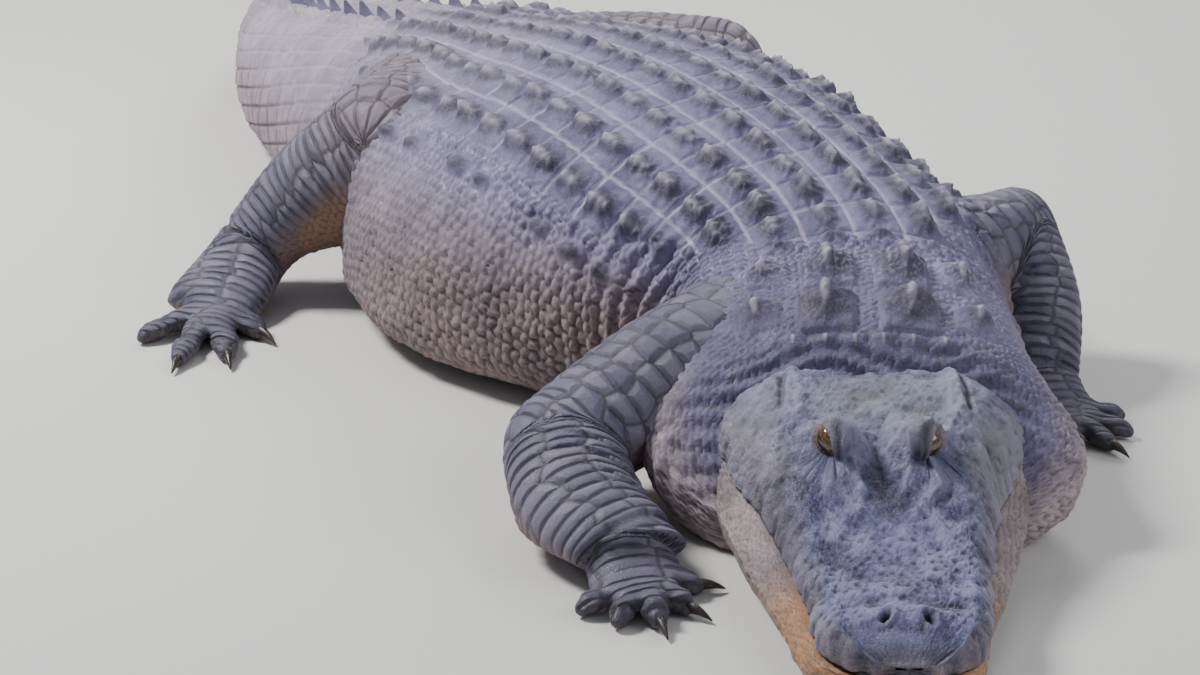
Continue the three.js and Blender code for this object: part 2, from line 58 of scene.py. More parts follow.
# Midline
# The line along the back seen from above, as headings that turn by station, and the oval section of neck,
# trunk and tail. Every other piece is placed by its station, its side and its height.
# HEADING rows: station, degrees by which the way backwards turns to the animal's left. BODY rows: station,
# half width, top, height of the widest place, bottom.
HEADING = [
    (0, 29), (440, 29), (560, 30), (680, 17), (800, 2), (950, -5), (1100, -4.5), (1300, -2),
    (1500, -6), (1700, -10), (2000, 0), (2400, 16), (2800, 32), (3400, 48)]
BODY = [
    (345, 140, 46, 40, -20), (372, 186, 78, 56, -20), (402, 222, 118, 74, -18), (440, 228, 166, 88, -16),
    (470, 220, 196, 94, -15), (510, 205, 216, 98, -15), (580, 192, 233, 102, -15), (680, 200, 260, 92, -14),
    (800, 244, 292, 76, -14), (950, 314, 326, 64, -14), (1120, 368, 346, 62, -14), (1300, 358, 342, 66, -14),
    (1450, 306, 326, 82, -12), (1600, 254, 308, 100, -10), (1750, 217, 292, 108, -8),
    (1950, 168, 262, 108, -6), (2250, 115, 215, 100, -5), (2600, 70, 168, 82, -4), (3000, 38, 115, 58, -3),
    (3300, 16, 60, 30, -2), (3400, 5, 26, 13, 0)]
ORIGIN_STATION = 1120
TOTAL = 3400
MID_STEP = 5.0


def curve(table, s, column=1):
    """Cubic Hermite through a table's rows, each slope that of the line between the two neighbours."""
    t = np.asarray(table, float)
    x, y = t[:, 0], t[:, column]
    n = len(x)
    lo = np.maximum(np.arange(n) - 1, 0)
    hi = np.minimum(np.arange(n) + 1, n - 1)
    m = (y[hi] - y[lo]) / (x[hi] - x[lo])
    s = np.clip(np.asarray(s, float), x[0], x[-1])
    i = np.clip(np.searchsorted(x, s, side="right") - 1, 0, n - 2)
    h = x[i + 1] - x[i]
    u = (s - x[i]) / h
    a = (2 * u**3 - 3 * u**2 + 1) * y[i] + (u**3 - 2 * u**2 + u) * h * m[i]
    return a + (3 * u**2 - 2 * u**3) * y[i + 1] + (u**3 - u**2) * h * m[i + 1]


MID_S = np.arange(0, TOTAL + MID_STEP / 2, MID_STEP)
MID_A = np.radians(curve(HEADING, MID_S))
ahead = np.stack([np.sin(MID_A), np.cos(MID_A)], 1)
MID_P = np.vstack([[0, 0], np.cumsum((ahead[1:] + ahead[:-1]) / 2 * MID_STEP, 0)])
MID_P = MID_P - MID_P[int(ORIGIN_STATION / MID_STEP)]


def place(s, side, z):
    """Station, sideways distance and height as points (..., 3)."""
    a = np.interp(s, MID_S, MID_A)
    x = np.interp(s, MID_S, MID_P[:, 0]) + np.cos(a) * side
    y = np.interp(s, MID_S, MID_P[:, 1]) - np.sin(a) * side
    return np.stack([x, y, z + 0 * x], -1)


def body_point(s, t):
    """Cross-section: a flattened oval, rounder above its widest height, squarer below, cut by the floor."""
    w, top, mid, low = (curve(BODY, s, c) for c in (1, 2, 3, 4))
    c, d = np.cos(t), np.sin(t)
    side = w * np.sign(c) * np.abs(c) ** np.where(d > 0, 0.93, 0.6)
    z = np.where(d > 0, mid + (top - mid) * d, mid - (mid - low) * np.abs(d) ** 0.8)
    return place(s, side, np.maximum(z, 0))


# Limb paths
# Upper leg, lower leg and palm are rows of x, y, z, half width and half height; a toe is x, y and radius.
# The body skin swells where a limb leaves it, so the paths come before the skin.
LIMBS = {
    "fore_right": {
        "upper": [(-95, -420, 130, 68, 68), (-230, -445, 126, 66, 68), (-392, -490, 80, 58, 62)],
        "lower": [(-392, -490, 76, 58, 60), (-410, -575, 54, 56, 54), (-396, -655, 34, 48, 36)],
        "palm": [(-396, -655, 32, 46, 32), (-406, -700, 18, 50, 20)],
        "toes": [(-350, -718, 12, 1), (-381, -756, 12, 1), (-420, -769, 12, 1), (-455, -752, 11, 0),
                 (-474, -712, 11, 0)]},
    "fore_left": {
        "upper": [(70, -385, 135, 68, 68), (190, -355, 150, 64, 66), (318, -316, 164, 54, 60)],
        "lower": [(318, -316, 160, 54, 58), (298, -400, 98, 52, 52), (256, -470, 38, 45, 34)],
        "palm": [(256, -470, 34, 44, 32), (236, -524, 18, 50, 20)],
        "toes": [(178, -570, 12, 1), (204, -606, 12, 1), (246, -614, 12, 1), (288, -592, 11, 0),
                 (312, -546, 11, 0)]},
    "hind_right": {
        "upper": [(-60, 500, 180, 88, 88), (-168, 386, 198, 82, 82), (-272, 264, 220, 76, 78)],
        "lower": [(-272, 264, 216, 76, 78), (-352, 314, 142, 68, 70), (-428, 352, 64, 62, 50)],
        "palm": [(-428, 352, 56, 58, 44), (-510, 272, 26, 72, 28)],
        "toes": [(-486, 176, 15, 1), (-548, 118, 15, 1), (-606, 130, 14, 1), (-622, 226, 13, 0)]},
    "hind_left": {
        "upper": [(70, 560, 180, 90, 90), (190, 470, 204, 84, 90), (290, 372, 214, 76, 82)],
        "lower": [(290, 372, 208, 76, 78), (350, 410, 132, 64, 66), (404, 452, 56, 58, 46)],
        "palm": [(404, 452, 50, 56, 42), (470, 360, 26, 74, 28)],
        "toes": [(418, 290, 15, 1), (480, 234, 15, 1), (540, 228, 14, 1), (590, 312, 13, 0)]},
}


def path_frames(path, u):
    """Middles, half widths, half heights and the three directions (along, side, up) at places u of a path."""
    table = [(i, *row) for i, row in enumerate(path)]
    last = len(path) - 1
    c = np.stack([curve(table, u, k) for k in (1, 2, 3)], -1)
    a = np.stack([curve(table, np.minimum(u + 0.02, last), k) - curve(table, np.maximum(u - 0.02, 0), k)
                  for k in (1, 2, 3)], -1)
    a = a / np.linalg.norm(a, axis=-1, keepdims=True)
    side = np.cross(a, [0, 0, 1.0])
    side = side / np.linalg.norm(side, axis=-1, keepdims=True)
    return c, curve(table, u, 4), curve(table, u, 5), a, side, np.cross(side, a)


def limb_distance(points, path):
    """Rough signed distance of points from the surface of a limb piece with round ends."""
    c, w, h, a, side, up = path_frames(path, np.linspace(0, len(path) - 1, 25))
    best = np.full(len(points), 1e3)
    for k in range(25):
        d = points - c[k]
        mean = min(w[k], h[k])
        r = np.sqrt((d @ side[k] / w[k]) ** 2 + (d @ up[k] / h[k]) ** 2 + (d @ a[k] / mean) ** 2)
        best = np.minimum(best, (r - 1) * mean)
    return best


def limb_blend(p, reach=70.0):
    """How far the body skin rises near each upper leg, so that the two run into each other: for a
    distance d it is reach / 4 * (1 - |d| / reach) squared."""
    flat = p.reshape(-1, 3)
    rise = np.zeros(len(flat))
    for limb in LIMBS.values():
        for key in ("upper", "lower"):
            m = np.array(limb[key])[:, :3]
            near = np.all((flat > m.min(0) - 170) & (flat < m.max(0) + 170), 1)
            if near.any():
                d = limb_distance(flat[near], limb[key])
                k = reach if key == "upper" else 30.0
                rise[near] = np.maximum(rise[near], k / 4 * np.clip(1 - np.abs(d) / k, 0, 1) ** 2)
    return rise.reshape(p.shape[:-1])


# Body skin
# The hide of neck, trunk and tail: bony keeled plates on neck and back, small round scales on the flanks,
# flat ones under the belly. Each piece is a grid over the oval sections, moved out along its normals.
ROW = 56.0
ROW_START = 664.0
TAIL_ROW = 54.0
SKIN_SINK = 5.0
# station and width of a column of plates, then station and number of columns on each side
COLUMN_WIDTH = [
    (600, 56), (664, 58), (780, 60), (948, 68), (1340, 68), (1452, 60), (1660, 54), (1900, 44), (2200, 34)]
COLUMNS = [(640, 1.9), (690, 2.0), (740, 3.0), (836, 3.6), (890, 4.0), (1400, 4.0), (1460, 3.2), (1660, 3.0),
           (1760, 2.0), (2200, 1.6)]
# neck plates: station, distance from the midline over the skin, width, length, height
NUCHALS = [
    (468, 15, 27, 24, 8), (469, 46, 28, 24, 8), (472, 80, 28, 24, 7),
    (512, 44, 68, 66, 28), (520, 118, 54, 50, 18), (588, 40, 66, 66, 28), (598, 108, 56, 52, 18)]


def smooth(x, a, b):
    """Smooth step from 0 at a to 1 at b."""
    u = np.clip((x - a) / (b - a), 0, 1)
    return u * u * (3 - 2 * u)


def hashed(*keys):
    """A steady number from 0 to 1 for whole-number keys."""
    h = sum(k * m for k, m in zip(keys, (12.9898, 78.233, 37.719, 4.581)))
    return np.abs(np.sin(h) * 43758.5453) % 1.0


def cells(u, v, du, dv, jitter=0.35, stagger=True, seed=0):
    """Scale cells on a jittered, staggered lattice: distance to the nearest centre and to the edge
    between the two nearest, both in cell widths, and a number for the nearest cell."""
    a, b = u / du, v / dv
    best = np.full(a.shape, 9.0)
    second = np.full(a.shape, 9.0)
    name = np.zeros(a.shape)
    for i in (-1, 0, 1):
        for j in (-1, 0, 1):
            cj = np.floor(b) + j
            shift = 0.5 * (cj % 2) if stagger else 0.0
            ci = np.floor(a - shift) + i
            hx, hy = hashed(ci, cj, 1 + seed), hashed(ci, cj, 5 + seed)
            px = ci + shift + 0.5 + jitter * (hx - 0.5)
            py = cj + 0.5 + jitter * (hy - 0.5)
            d = np.hypot(a - px, b - py)
            near = d < best
            second = np.where(near, best, np.minimum(second, d))
            name = np.where(near, hx, name)
            best = np.where(near, d, best)
    return best, second - best, name


def rolling(x, y, size, seed=0):
    """Smooth random hills about size mm across, from -1 to 1, blended from a lattice of random heights."""
    a, b = x / size, y / size
    i, j = np.floor(a), np.floor(b)
    u, v = a - i, b - j
    u, v = u * u * (3 - 2 * u), v * v * (3 - 2 * v)
    h = lambda m, n: hashed(m, n, 11 + seed)
    low = h(i, j) * (1 - u) + h(i + 1, j) * u
    high = h(i, j + 1) * (1 - u) + h(i + 1, j + 1) * u
    return 2 * (low * (1 - v) + high * v) - 1


def grid_normals(p):
    """Unit normals, pointing out, of a grid of points whose last column meets the first."""
    e = np.concatenate([p[:, -1:], p, p[:, :1]], 1)
    dv = e[:, 2:] - e[:, :-2]
    du = np.gradient(p, axis=0)
    n = np.cross(dv, du)
    if np.sum(n * (p - p.mean(1, keepdims=True))) < 0:
        n = -n
    return n / (np.linalg.norm(n, axis=-1, keepdims=True) + 1e-9)


def make_mesh(name, verts, faces, attributes=None):
    """A mesh object from points in millimetres, faces of equal length and values for each point."""
    me = bpy.data.meshes.new(name)
    verts = np.asarray(verts, float).reshape(-1, 3) * 0.001
    faces = np.asarray(faces, np.int32)
    n, k = faces.shape
    me.vertices.add(len(verts))
    me.vertices.foreach_set("co", verts.ravel())
    me.loops.add(n * k)
    me.loops.foreach_set("vertex_index", faces.ravel())
    me.polygons.add(n)
    me.polygons.foreach_set("loop_start", np.arange(0, n * k, k, dtype=np.int32))
    me.polygons.foreach_set("use_smooth", np.ones(n, bool))
    for key, value in (attributes or {}).items():
        layer = me.attributes.new(key, "FLOAT", "POINT")
        layer.data.foreach_set("value", np.asarray(value, float).ravel())
    me.update(calc_edges=True)
    me.validate()
    o = bpy.data.objects.new(name, me)
    scene.collection.objects.link(o)
    return o


def grid_triangles(rows, cols):
    """Two triangles for each field of a grid of rows by cols points whose last column meets the first."""
    i = np.arange(rows - 1)[:, None]
    j = np.arange(cols)[None]
    a = i * cols + j
    b = i * cols + (j + 1) % cols
    q = np.stack([a, b, b + cols, a + cols], -1).reshape(-1, 4)
    return np.concatenate([q[:, [0, 1, 2]], q[:, [0, 2, 3]]])


def capped(p):
    """A wrapped grid's points and triangles, with a fan closing each end, turned to face outwards."""
    rows, cols = p.shape[:2]
    verts = p.reshape(-1, 3)
    faces = [grid_triangles(rows, cols)]
    j = np.arange(cols)
    for ring in (0, rows - 1):
        verts = np.vstack([verts, p[ring].mean(0)])
        e = np.full(cols, len(verts) - 1)
        a, b = ring * cols + j, ring * cols + (j + 1) % cols
        faces.append(np.stack([e, b, a] if ring == 0 else [e, a, b], 1))
    return verts, outward(verts, np.concatenate(faces))


def outward(verts, faces):
    """The faces, turned round if the closed shape they make has a negative volume."""
    a, b, c = (verts[faces[:, k]] for k in range(3))
    volume = np.einsum("ij,ij->i", a, np.cross(b, c)).sum()
    return faces if volume > 0 else faces[:, ::-1]


def with_caps(values):
    """Values of a grid's points as one list, with a 0 for the middle of each end cap."""
    return np.append(values.ravel(), [0, 0])


def ramp(table, s):
    """Straight lines through a table's rows."""
    t = np.asarray(table, float)
    return np.interp(s, t[:, 0], t[:, 1])


def back_plates(s, a):
    """Height of the keeled plates of the back, and how far a point lies in the plated field. Rows are a
    fixed length, columns run beside the midline; each plate is a low table with a keel that rises
    backwards to a peak, and narrow grooves lie between."""
    w = ramp(COLUMN_WIDTH, s)
    n = ramp(COLUMNS, s)
    row = (s - ROW_START) / ROW
    r = np.floor(row)
    p = row - r
    col = np.abs(a) / w
    c = np.floor(col)
    q = col - c
    k = hashed(r, c, np.sign(a))
    k2 = hashed(r, c, np.sign(a) + 9)
    p = np.clip(p + (k2 - 0.5) * 0.08, 0, 1)
    e = np.minimum(np.minimum(q, 1 - q) * w, np.minimum(p, 1 - p) * ROW)
    table = smooth(e, 1.0, 3.4)
    rough = rolling(s, a, 5.0, 5) + rolling(s, a, 11.0, 6)
    rise = smooth(p, 0.0, 0.40) * (1 - smooth(p, 0.80, 0.95)) * (0.5 + 0.6 * p)
    keel = np.clip(1 - np.abs(q - 0.5) * w / 23.0, 0, 1) ** 1.1
    h = (3.0 + 0.6 * rough) * table + (16.5 * rise + 2.4 * rough) * keel * (0.7 + 0.5 * k) * table
    field = smooth(n - col, -0.02, 0.10)
    # beyond the field's edge lie single dark knobs in the same rows
    beyond = (col >= n - 0.02) & (col < n + 1.05) & (k > 0.22) & (s > 770) & (s < 1600)
    x, y = np.abs(q - 0.5) * w / (13 + 4 * k2), (p - 0.52) * ROW / (20 + 5 * k2)
    d = np.maximum(x, np.abs(y))
    odd = np.clip(1 - x, 0, 1) ** 0.8 * np.clip(1 - y**2, 0, 1) * (0.75 + 0.35 * y) * (13 + 5 * k2)
    odd = np.where(beyond, odd + 1.4 * rough * (d < 0.8), 0)
    knob = np.where(beyond, smooth(1 - d, 0.0, 0.15), 0) * (1 - field)
    h = h * field + np.maximum(odd, 0) * (1 - field)
    return h, np.maximum(field, knob), (keel * rise * table) ** 1.3 * field + 0.3 * knob * (x < 0.3), \
        (1 - table) * field


def neck_plates(s, a):
    """Keeled plates of the neck, each with its own place and size; the height and a mask of the keels."""
    h = np.zeros(s.shape)
    top = np.zeros(s.shape)
    for s0, a0, w, l, height in NUCHALS:
        for sign in (1, -1):
            x = (a - sign * a0) / (w / 2)
            y = (s - s0) / (l / 2)
            table = smooth(1 - np.maximum(np.abs(x), np.abs(y)), 0.0, 0.22)
            side = np.clip(1 - np.abs(x), 0, 1)
            back = smooth(y, -0.95, 0.45) * (1 - smooth(y, 0.55, 1.0))
            k = np.exp(-((x / 0.2) ** 2)) * back
            form = height * (0.2 * table + 0.72 * side**0.85 * back + 0.14 * k)
            form = form * smooth(1 - np.abs(x), 0, 0.1)
            form = form * (1 + 0.12 * rolling(s, a, 5.0, 5) + 0.1 * rolling(s, a, 11.0, 6))
            h = np.maximum(h, form)
            top = np.maximum(top, k * table)
    return h, top


def body_relief(s, a, f):
    """Relief of the whole body skin in millimetres at station s, arc a from the midline and girth share f:
    plates on neck and back, small round scales on the flanks, folds behind the head and at the shoulder."""
    plates, field, keel, groove = back_plates(s, a)
    on_back = smooth(s, 640, 668)
    tail = smooth(s, 1640, 1760)
    nuchal, ntop = neck_plates(s, a)
    belly = smooth(np.abs(f), 0.60, 0.72)
    d1, e1, n1 = cells(s + 6 * np.sin(a / 23) + 0.25 * a, a, 12.5, 14.0, 0.45)
    d2, e2, n2 = cells(s, a, 8.5, 8.0, 0.5, seed=3)
    _, e3, _ = cells(s, a, 28.0, 19.0, 0.08, stagger=False)
    flank = (3.4 * smooth(e1, 0.02, 0.30) + 1.6 * np.clip(1 - 1.7 * d1, 0, 1)) * (0.7 + 0.6 * n1)
    small = (2.0 * smooth(e2, 0.02, 0.34) + 0.6 * np.clip(1 - 1.7 * d2, 0, 1)) * (0.6 + 0.7 * n2)
    under = 1.0 * smooth(e3, 0.02, 0.2)
    neck = 1 - smooth(s, 600, 680)
    fold_field = np.exp(-(((s - 770) / 110) ** 2)) * smooth(np.abs(a), 150, 260) * (1 - belly)
    folds = 5.0 * np.sin((s + 10 * np.sin(a / 37) + 0.12 * np.abs(a)) * 2 * np.pi / 33) * fold_field
    collar = (1 - smooth(s, 430, 500)) * (1 - belly)
    rolls = 3.2 * np.sin((s + 9 * np.sin(a / 31) + 5 * rolling(s, a, 40, 3)) * 2 * np.pi / 17) * collar
    rolls = rolls * (1 - 0.7 * smooth(np.abs(a), 110, 190))
    jowl = smooth(np.abs(a), 150, 230) * (1 - smooth(s, 560, 640)) * (1 - belly)
    rolls = rolls + 1.3 * np.sin((s + 0.55 * np.abs(a) + 26 * rolling(s, a, 45, 8)) * 2 * np.pi / 37) * jowl
    # whorls of the tail: long plates in rings
    r = (s - ROW_START) / TAIL_ROW
    p = r - np.floor(r)
    whorl = smooth(np.minimum(p, 1 - p) * TAIL_ROW, 0.8, 4.5)
    colw = 30.0
    q = np.abs(a) / colw
    qq = q - np.floor(q)
    block = np.minimum(whorl, smooth(np.minimum(qq, 1 - qq) * colw, 0.5, 3.5)) * 3.2
    skin = np.where(neck > 0.5, small, flank)
    skin = skin * (1 - belly) + under * belly
    out = skin * (1 - field * on_back) + plates * on_back * (1 - tail)
    out = out * (1 - tail) + tail * (block * (1 - belly) + under * belly + plates * field * 0.6)
    nk = nuchal > 0.4
    out = np.where(nk, np.maximum(nuchal, 0), out)
    # shown is the plates' height, which the material paints dark: partly their own dark horn, partly painted
    # shade on the keel sides
    shown = np.clip(np.where(nk, nuchal / 26, (plates * on_back * (1 - tail)) / 18), 0, 1)
    mask_top = np.clip(keel * on_back * (1 - 0.6 * tail) + ntop, 0, 1)
    # dark marks the seams between the scales and the grooves between plates and tail whorls: the material
    # paints them pale on the back, as painted shade on flanks and sides
    seam = np.where(neck > 0.5, 1 - smooth(e2, 0.0, 0.2), 1 - smooth(e1, 0.0, 0.2))
    dark = np.clip(groove * on_back * (1 - tail) + seam * (1 - field * on_back), 0, 1)
    dark = dark * (1 - tail) + tail * (1 - np.clip(block / 3.2, 0, 1)) * 0.8
    sag = 3.0 * rolling(s, a, 70, 9) + 1.6 * rolling(s, a, 30, 10)
    return out + folds + rolls + sag * (1 - belly) * (1 - field), mask_top, dark, belly, shown


def body_piece(name, s0, s1, step, fine=0.66, sides=150, coarse=14):
    """A length of body skin. Columns are spaced evenly over the skin on the back and flanks and further
    apart under the belly, then the grid moves out along its normals by the relief. It is worked out one
    row further at each end, so that two pieces share the ring where they meet."""
    rows = int(round((s1 - s0) / step)) + 1
    step = (s1 - s0) / (rows - 1)
    rows = rows + 2
    s = s0 + step * np.arange(-1, rows - 1)
    t = np.linspace(np.pi / 2, -np.pi / 2, 361)
    dense = body_point(s[:, None], t[None] + 0 * s[:, None])
    gone = np.cumsum(np.linalg.norm(np.diff(dense, axis=1), axis=2), 1)
    arc = np.concatenate([np.zeros((rows, 1)), gone], 1)
    half = arc[:, -1]
    share = np.concatenate([np.linspace(0, fine, sides, endpoint=False), np.linspace(fine, 1, coarse)])
    turn = np.stack([np.interp(share * g, row, t) for g, row in zip(half, arc)])
    right = np.pi - turn[:, -2:0:-1]
    angle = np.concatenate([turn, right], 1)
    f = np.concatenate([share, -share[-2:0:-1]])[None] + 0 * s[:, None]
    ss = s[:, None] + 0 * angle
    a = f * half[:, None]
    p = body_point(ss, angle)
    n = grid_normals(p)
    relief, top, dark, belly, shown = body_relief(ss, a, f)
    relief = relief - SKIN_SINK + limb_blend(p)
    q = p + n * relief[..., None]
    q[..., 2] = np.maximum(q[..., 2], 0)
    verts, faces = capped(q[1:-1])
    values = {"top": top, "dark": dark, "belly": belly, "back": 1 - smooth(np.abs(f), 0.32, 0.5),
              "station": ss / TOTAL, "relief": shown}
    return make_mesh(name, verts, faces, {key: with_caps(v[1:-1]) for key, v in values.items()})


def colour(r, g, b):
    """A colour given in sRGB 0 to 1 as linear red, green, blue, alpha."""
    lin = [c / 12.92 if c <= 0.04045 else ((c + 0.055) / 1.055) ** 2.4 for c in (r, g, b)]
    return (*lin, 1.0)


def add(tree, kind, links=None, **values):
    """A node of a tree; links maps its inputs to sockets, values sets inputs or properties."""
    n = tree.nodes.new(kind)
    for key, value in values.items():
        if hasattr(n, key):
            setattr(n, key, value)
        else:
            n.inputs[key.replace("_", " ")].default_value = value
    for key, socket in (links or {}).items():
        tree.links.new(socket, n.inputs[key])
    return n


def feed(tree, entry, value):
    """Give an input the output of another node, a colour as three sRGB numbers, or a number."""
    if isinstance(value, bpy.types.NodeSocket):
        tree.links.new(value, entry)
    else:
        entry.default_value = colour(*value) if isinstance(value, tuple) else value


def blend(tree, factor, a, b):
    """Mix two colours; each may be a socket or three numbers."""
    n = add(tree, "ShaderNodeMix", data_type="RGBA")
    for key, value in ((0, factor), (6, a), (7, b)):
        feed(tree, n.inputs[key], value)
    return n.outputs[2]


def math_node(tree, operation, *values, clamp=False):
    """Arithmetic on values; each may be a socket or a number."""
    n = add(tree, "ShaderNodeMath", operation=operation, use_clamp=clamp)
    for entry, value in zip(n.inputs, values):
        feed(tree, entry, value)
    return n.outputs[0]


def times(tree, a, b):
    """Two values multiplied."""
    return math_node(tree, "MULTIPLY", a, b)


def inverse(tree, mask):
    """One less a mask."""
    return math_node(tree, "SUBTRACT", 1.0, mask)


def over(tree, base, mask, share, tone):
    """A tone laid over a colour by a share of a mask."""
    return blend(tree, times(tree, mask, share), base, tone)


def step_node(tree, value, low, high):
    """A smooth step of a value from 0 at low to 1 at high."""
    n = add(tree, "ShaderNodeMapRange", {"Value": value}, interpolation_type="SMOOTHSTEP",
            From_Min=low, From_Max=high)
    return n.outputs["Result"]


def attribute(tree, name):
    """The value of a mesh attribute."""
    return add(tree, "ShaderNodeAttribute", attribute_name=name).outputs["Fac"]


def group(name, sockets):
    """A node group with the given sockets as (in or out, name, type, default)."""
    g = bpy.data.node_groups.new(name, "ShaderNodeTree")
    for way, label, kind, default in sockets:
        in_out = "INPUT" if way == "in" else "OUTPUT"
        s = g.interface.new_socket(label, in_out=in_out, socket_type="NodeSocket" + kind)
        if way == "in" and default is not None:
            s.default_value = default
    return g, g.nodes.new("NodeGroupInput"), g.nodes.new("NodeGroupOutput")


def use(tree, g, **values):
    """The outputs of a node group placed in a tree."""
    return add(tree, "ShaderNodeGroup", node_tree=g, **values).outputs


def blotches_group():
    """Slow and quick changes of tone over the hide, and a fine speckle."""
    g, _, gout = group("blotches", [("out", "Slow", "Float", None), ("out", "Quick", "Float", None),
                                    ("out", "Speckle", "Float", None)])
    coords = add(g, "ShaderNodeTexCoord").outputs["Object"]
    slow = add(g, "ShaderNodeTexNoise", {"Vector": coords}, Scale=6.0, Detail=4.0, Roughness=0.6)
    quick = add(g, "ShaderNodeTexNoise", {"Vector": coords}, Scale=42.0, Detail=5.0, Roughness=0.65)
    speck = add(g, "ShaderNodeTexNoise", {"Vector": coords}, Scale=330.0, Detail=3.0, Roughness=0.6)
    for key, n, lo, hi in (
            ("Slow", slow, 0.38, 0.62), ("Quick", quick, 0.36, 0.64), ("Speckle", speck, 0.42, 0.68)):
        g.links.new(step_node(g, n.outputs[0], lo, hi), gout.inputs[key])
    return g


def fine_hide_group():
    """Wrinkles and grain of the hide as a normal."""
    g, gin, gout = group("fine_hide", [("in", "Strength", "Float", 0.5), ("out", "Normal", "Vector", None)])
    coords = add(g, "ShaderNodeTexCoord").outputs["Object"]
    warp = add(g, "ShaderNodeTexNoise", {"Vector": coords}, Scale=60.0, Detail=2.0)
    moved = add(g, "ShaderNodeVectorMath", operation="MULTIPLY_ADD")
    g.links.new(warp.outputs["Color"], moved.inputs[0])
    moved.inputs[1].default_value = (0.012, 0.012, 0.012)
    g.links.new(coords, moved.inputs[2])
    cracks = add(g, "ShaderNodeTexVoronoi", {"Vector": moved.outputs[0]}, feature="DISTANCE_TO_EDGE",
                 Scale=330.0)
    grain = add(g, "ShaderNodeTexNoise", {"Vector": coords}, Scale=520.0, Detail=4.0, Roughness=0.6)
    lines = step_node(g, cracks.outputs["Distance"], 0.0, 0.16)
    height = math_node(g, "MULTIPLY_ADD", grain.outputs[0], 0.7, lines)
    bump = add(g, "ShaderNodeBump", {"Height": height, "Strength": gin.outputs["Strength"]}, Distance=0.0006)
    g.links.new(bump.outputs[0], gout.inputs["Normal"])
    return g


BLOTCHES = blotches_group()
FINE_HIDE = fine_hide_group()


def blotched_material(name):
    """A new material with its tree, its surface shader and the outputs of the shared blotches."""
    m = bpy.data.materials.new(name)
    m.use_nodes = True
    tree = m.node_tree
    shader = tree.nodes["Principled BSDF"]
    return m, tree, shader, use(tree, BLOTCHES)


def finish_hide(tree, shader, base, rough_low, rough_high, roughness_mask, strength):
    """Join colour, roughness and the fine normal to the shader."""
    tree.links.new(base, shader.inputs["Base Color"])
    r = add(tree, "ShaderNodeMapRange", {"Value": roughness_mask}, To_Min=rough_low, To_Max=rough_high)
    tree.links.new(r.outputs[0], shader.inputs["Roughness"])
    tree.links.new(use(tree, FINE_HIDE, Strength=strength)["Normal"], shader.inputs["Normal"])
    shader.inputs["Specular IOR Level"].default_value = 0.4


def body_hide():
    """Lavender grey back, brown flanks, dark keels with pale tops, pale lines between the plates. The keels'
    dark is partly painted shade, the flank grooves are painted shade, and the jowl and the rear of the back
    carry painted light.
    """
    m, tree, shader, blotch = blotched_material("body_hide")
    back, belly, dark, top, station = (
        attribute(tree, key) for key in ("back", "belly", "dark", "top", "station"))
    tone = blend(tree, blotch["Slow"], (0.31, 0.30, 0.43), (0.44, 0.42, 0.56))
    side = blend(tree, blotch["Slow"], (0.43, 0.36, 0.38), (0.54, 0.46, 0.45))
    # painted light: before station about 510, fading out by 650, the flank colour is made much paler to light
    # the jowl, which lies in the head's shadow
    jowl = inverse(tree, step_node(tree, station, 0.15, 0.19))
    side = blend(tree, times(tree, jowl, 0.85), side, (0.74, 0.67, 0.68))
    tailish = step_node(tree, station, 0.46, 0.56)
    tail = blend(tree, blotch["Slow"], (0.50, 0.45, 0.47), (0.66, 0.60, 0.62))
    tone = blend(tree, tailish, tone, tail)
    base = blend(tree, back, side, tone)
    base = blend(tree, belly, base, (0.52, 0.43, 0.35))
    # groove colour: pale lines of skin on the back, painted shade on the flanks, neck and tail sides
    groove_lines_and_shade = blend(tree, back, (0.17, 0.13, 0.15), (0.70, 0.66, 0.76))
    # painted light: the hide grows paler from station about 1020 to 1560, standing in for light on the rear
    # of the body
    rear_painted_light = times(tree, step_node(tree, station, 0.30, 0.46), 0.4)
    base = blend(tree, rear_painted_light, base, (0.66, 0.62, 0.70))
    # the raised plates darken with their height: partly the plates' own dark horn, partly painted shade on
    # the keel sides
    relief = attribute(tree, "relief")
    flank = times(tree, step_node(tree, relief, 0.2, 0.5), 0.8)
    keels = blend(tree, blotch["Quick"], (0.14, 0.13, 0.18), (0.27, 0.26, 0.35))
    base = blend(tree, flank, base, keels)
    # painted light: the groove colour is made paler on the jowl as well
    groove_lines_and_shade = blend(tree, jowl, groove_lines_and_shade, (0.38, 0.33, 0.36))
    base = over(tree, base, dark, 0.8, groove_lines_and_shade)
    base = over(tree, base, step_node(tree, top, 0.35, 0.9), 0.7, (0.68, 0.65, 0.71))
    base = over(tree, base, blotch["Quick"], 0.22, (0.26, 0.24, 0.29))
    base = over(tree, base, blotch["Speckle"], 0.16, (0.66, 0.62, 0.62))
    finish_hide(tree, shader, base, 0.5, 0.75, blotch["Quick"], 0.55)
    return m


BODY_HIDE = body_hide()
skin_pieces = [
    body_piece("skin_neck", 352, 664, 2.6),
    body_piece("skin_trunk_front", 664, 1168, 2.6),
    body_piece("skin_trunk_rear", 1168, 1672, 2.6),
    body_piece("skin_tail_base", 1672, 2212, 3.4),
    body_piece("skin_tail_middle", 2212, 2806, 4.0),
    body_piece("skin_tail_tip", 2806, 3394, 4.6),
]
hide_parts("neck")
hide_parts("torso")
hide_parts("tail_base")
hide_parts("tail_middle")
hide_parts("tail_tip")
for o in skin_pieces:
    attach(o, "root")
    o.data.materials.append(BODY_HIDE)


# Tail crest
# Upright blades of horny hide along the tail, two rows that meet in one. Each is a lofted oval that narrows
# to a peak and leans backwards; all of them are one mesh.
# TAIL_CRESTS rows: station, distance between the rows, height.
TAIL_CRESTS = [
    (1690, 128, 20), (1900, 104, 26), (2100, 78, 32), (2300, 50, 38), (2480, 20, 42), (2520, 0, 46),
    (2800, 0, 42), (3100, 0, 30), (3340, 0, 12)]
SINGLE_FROM = 2500


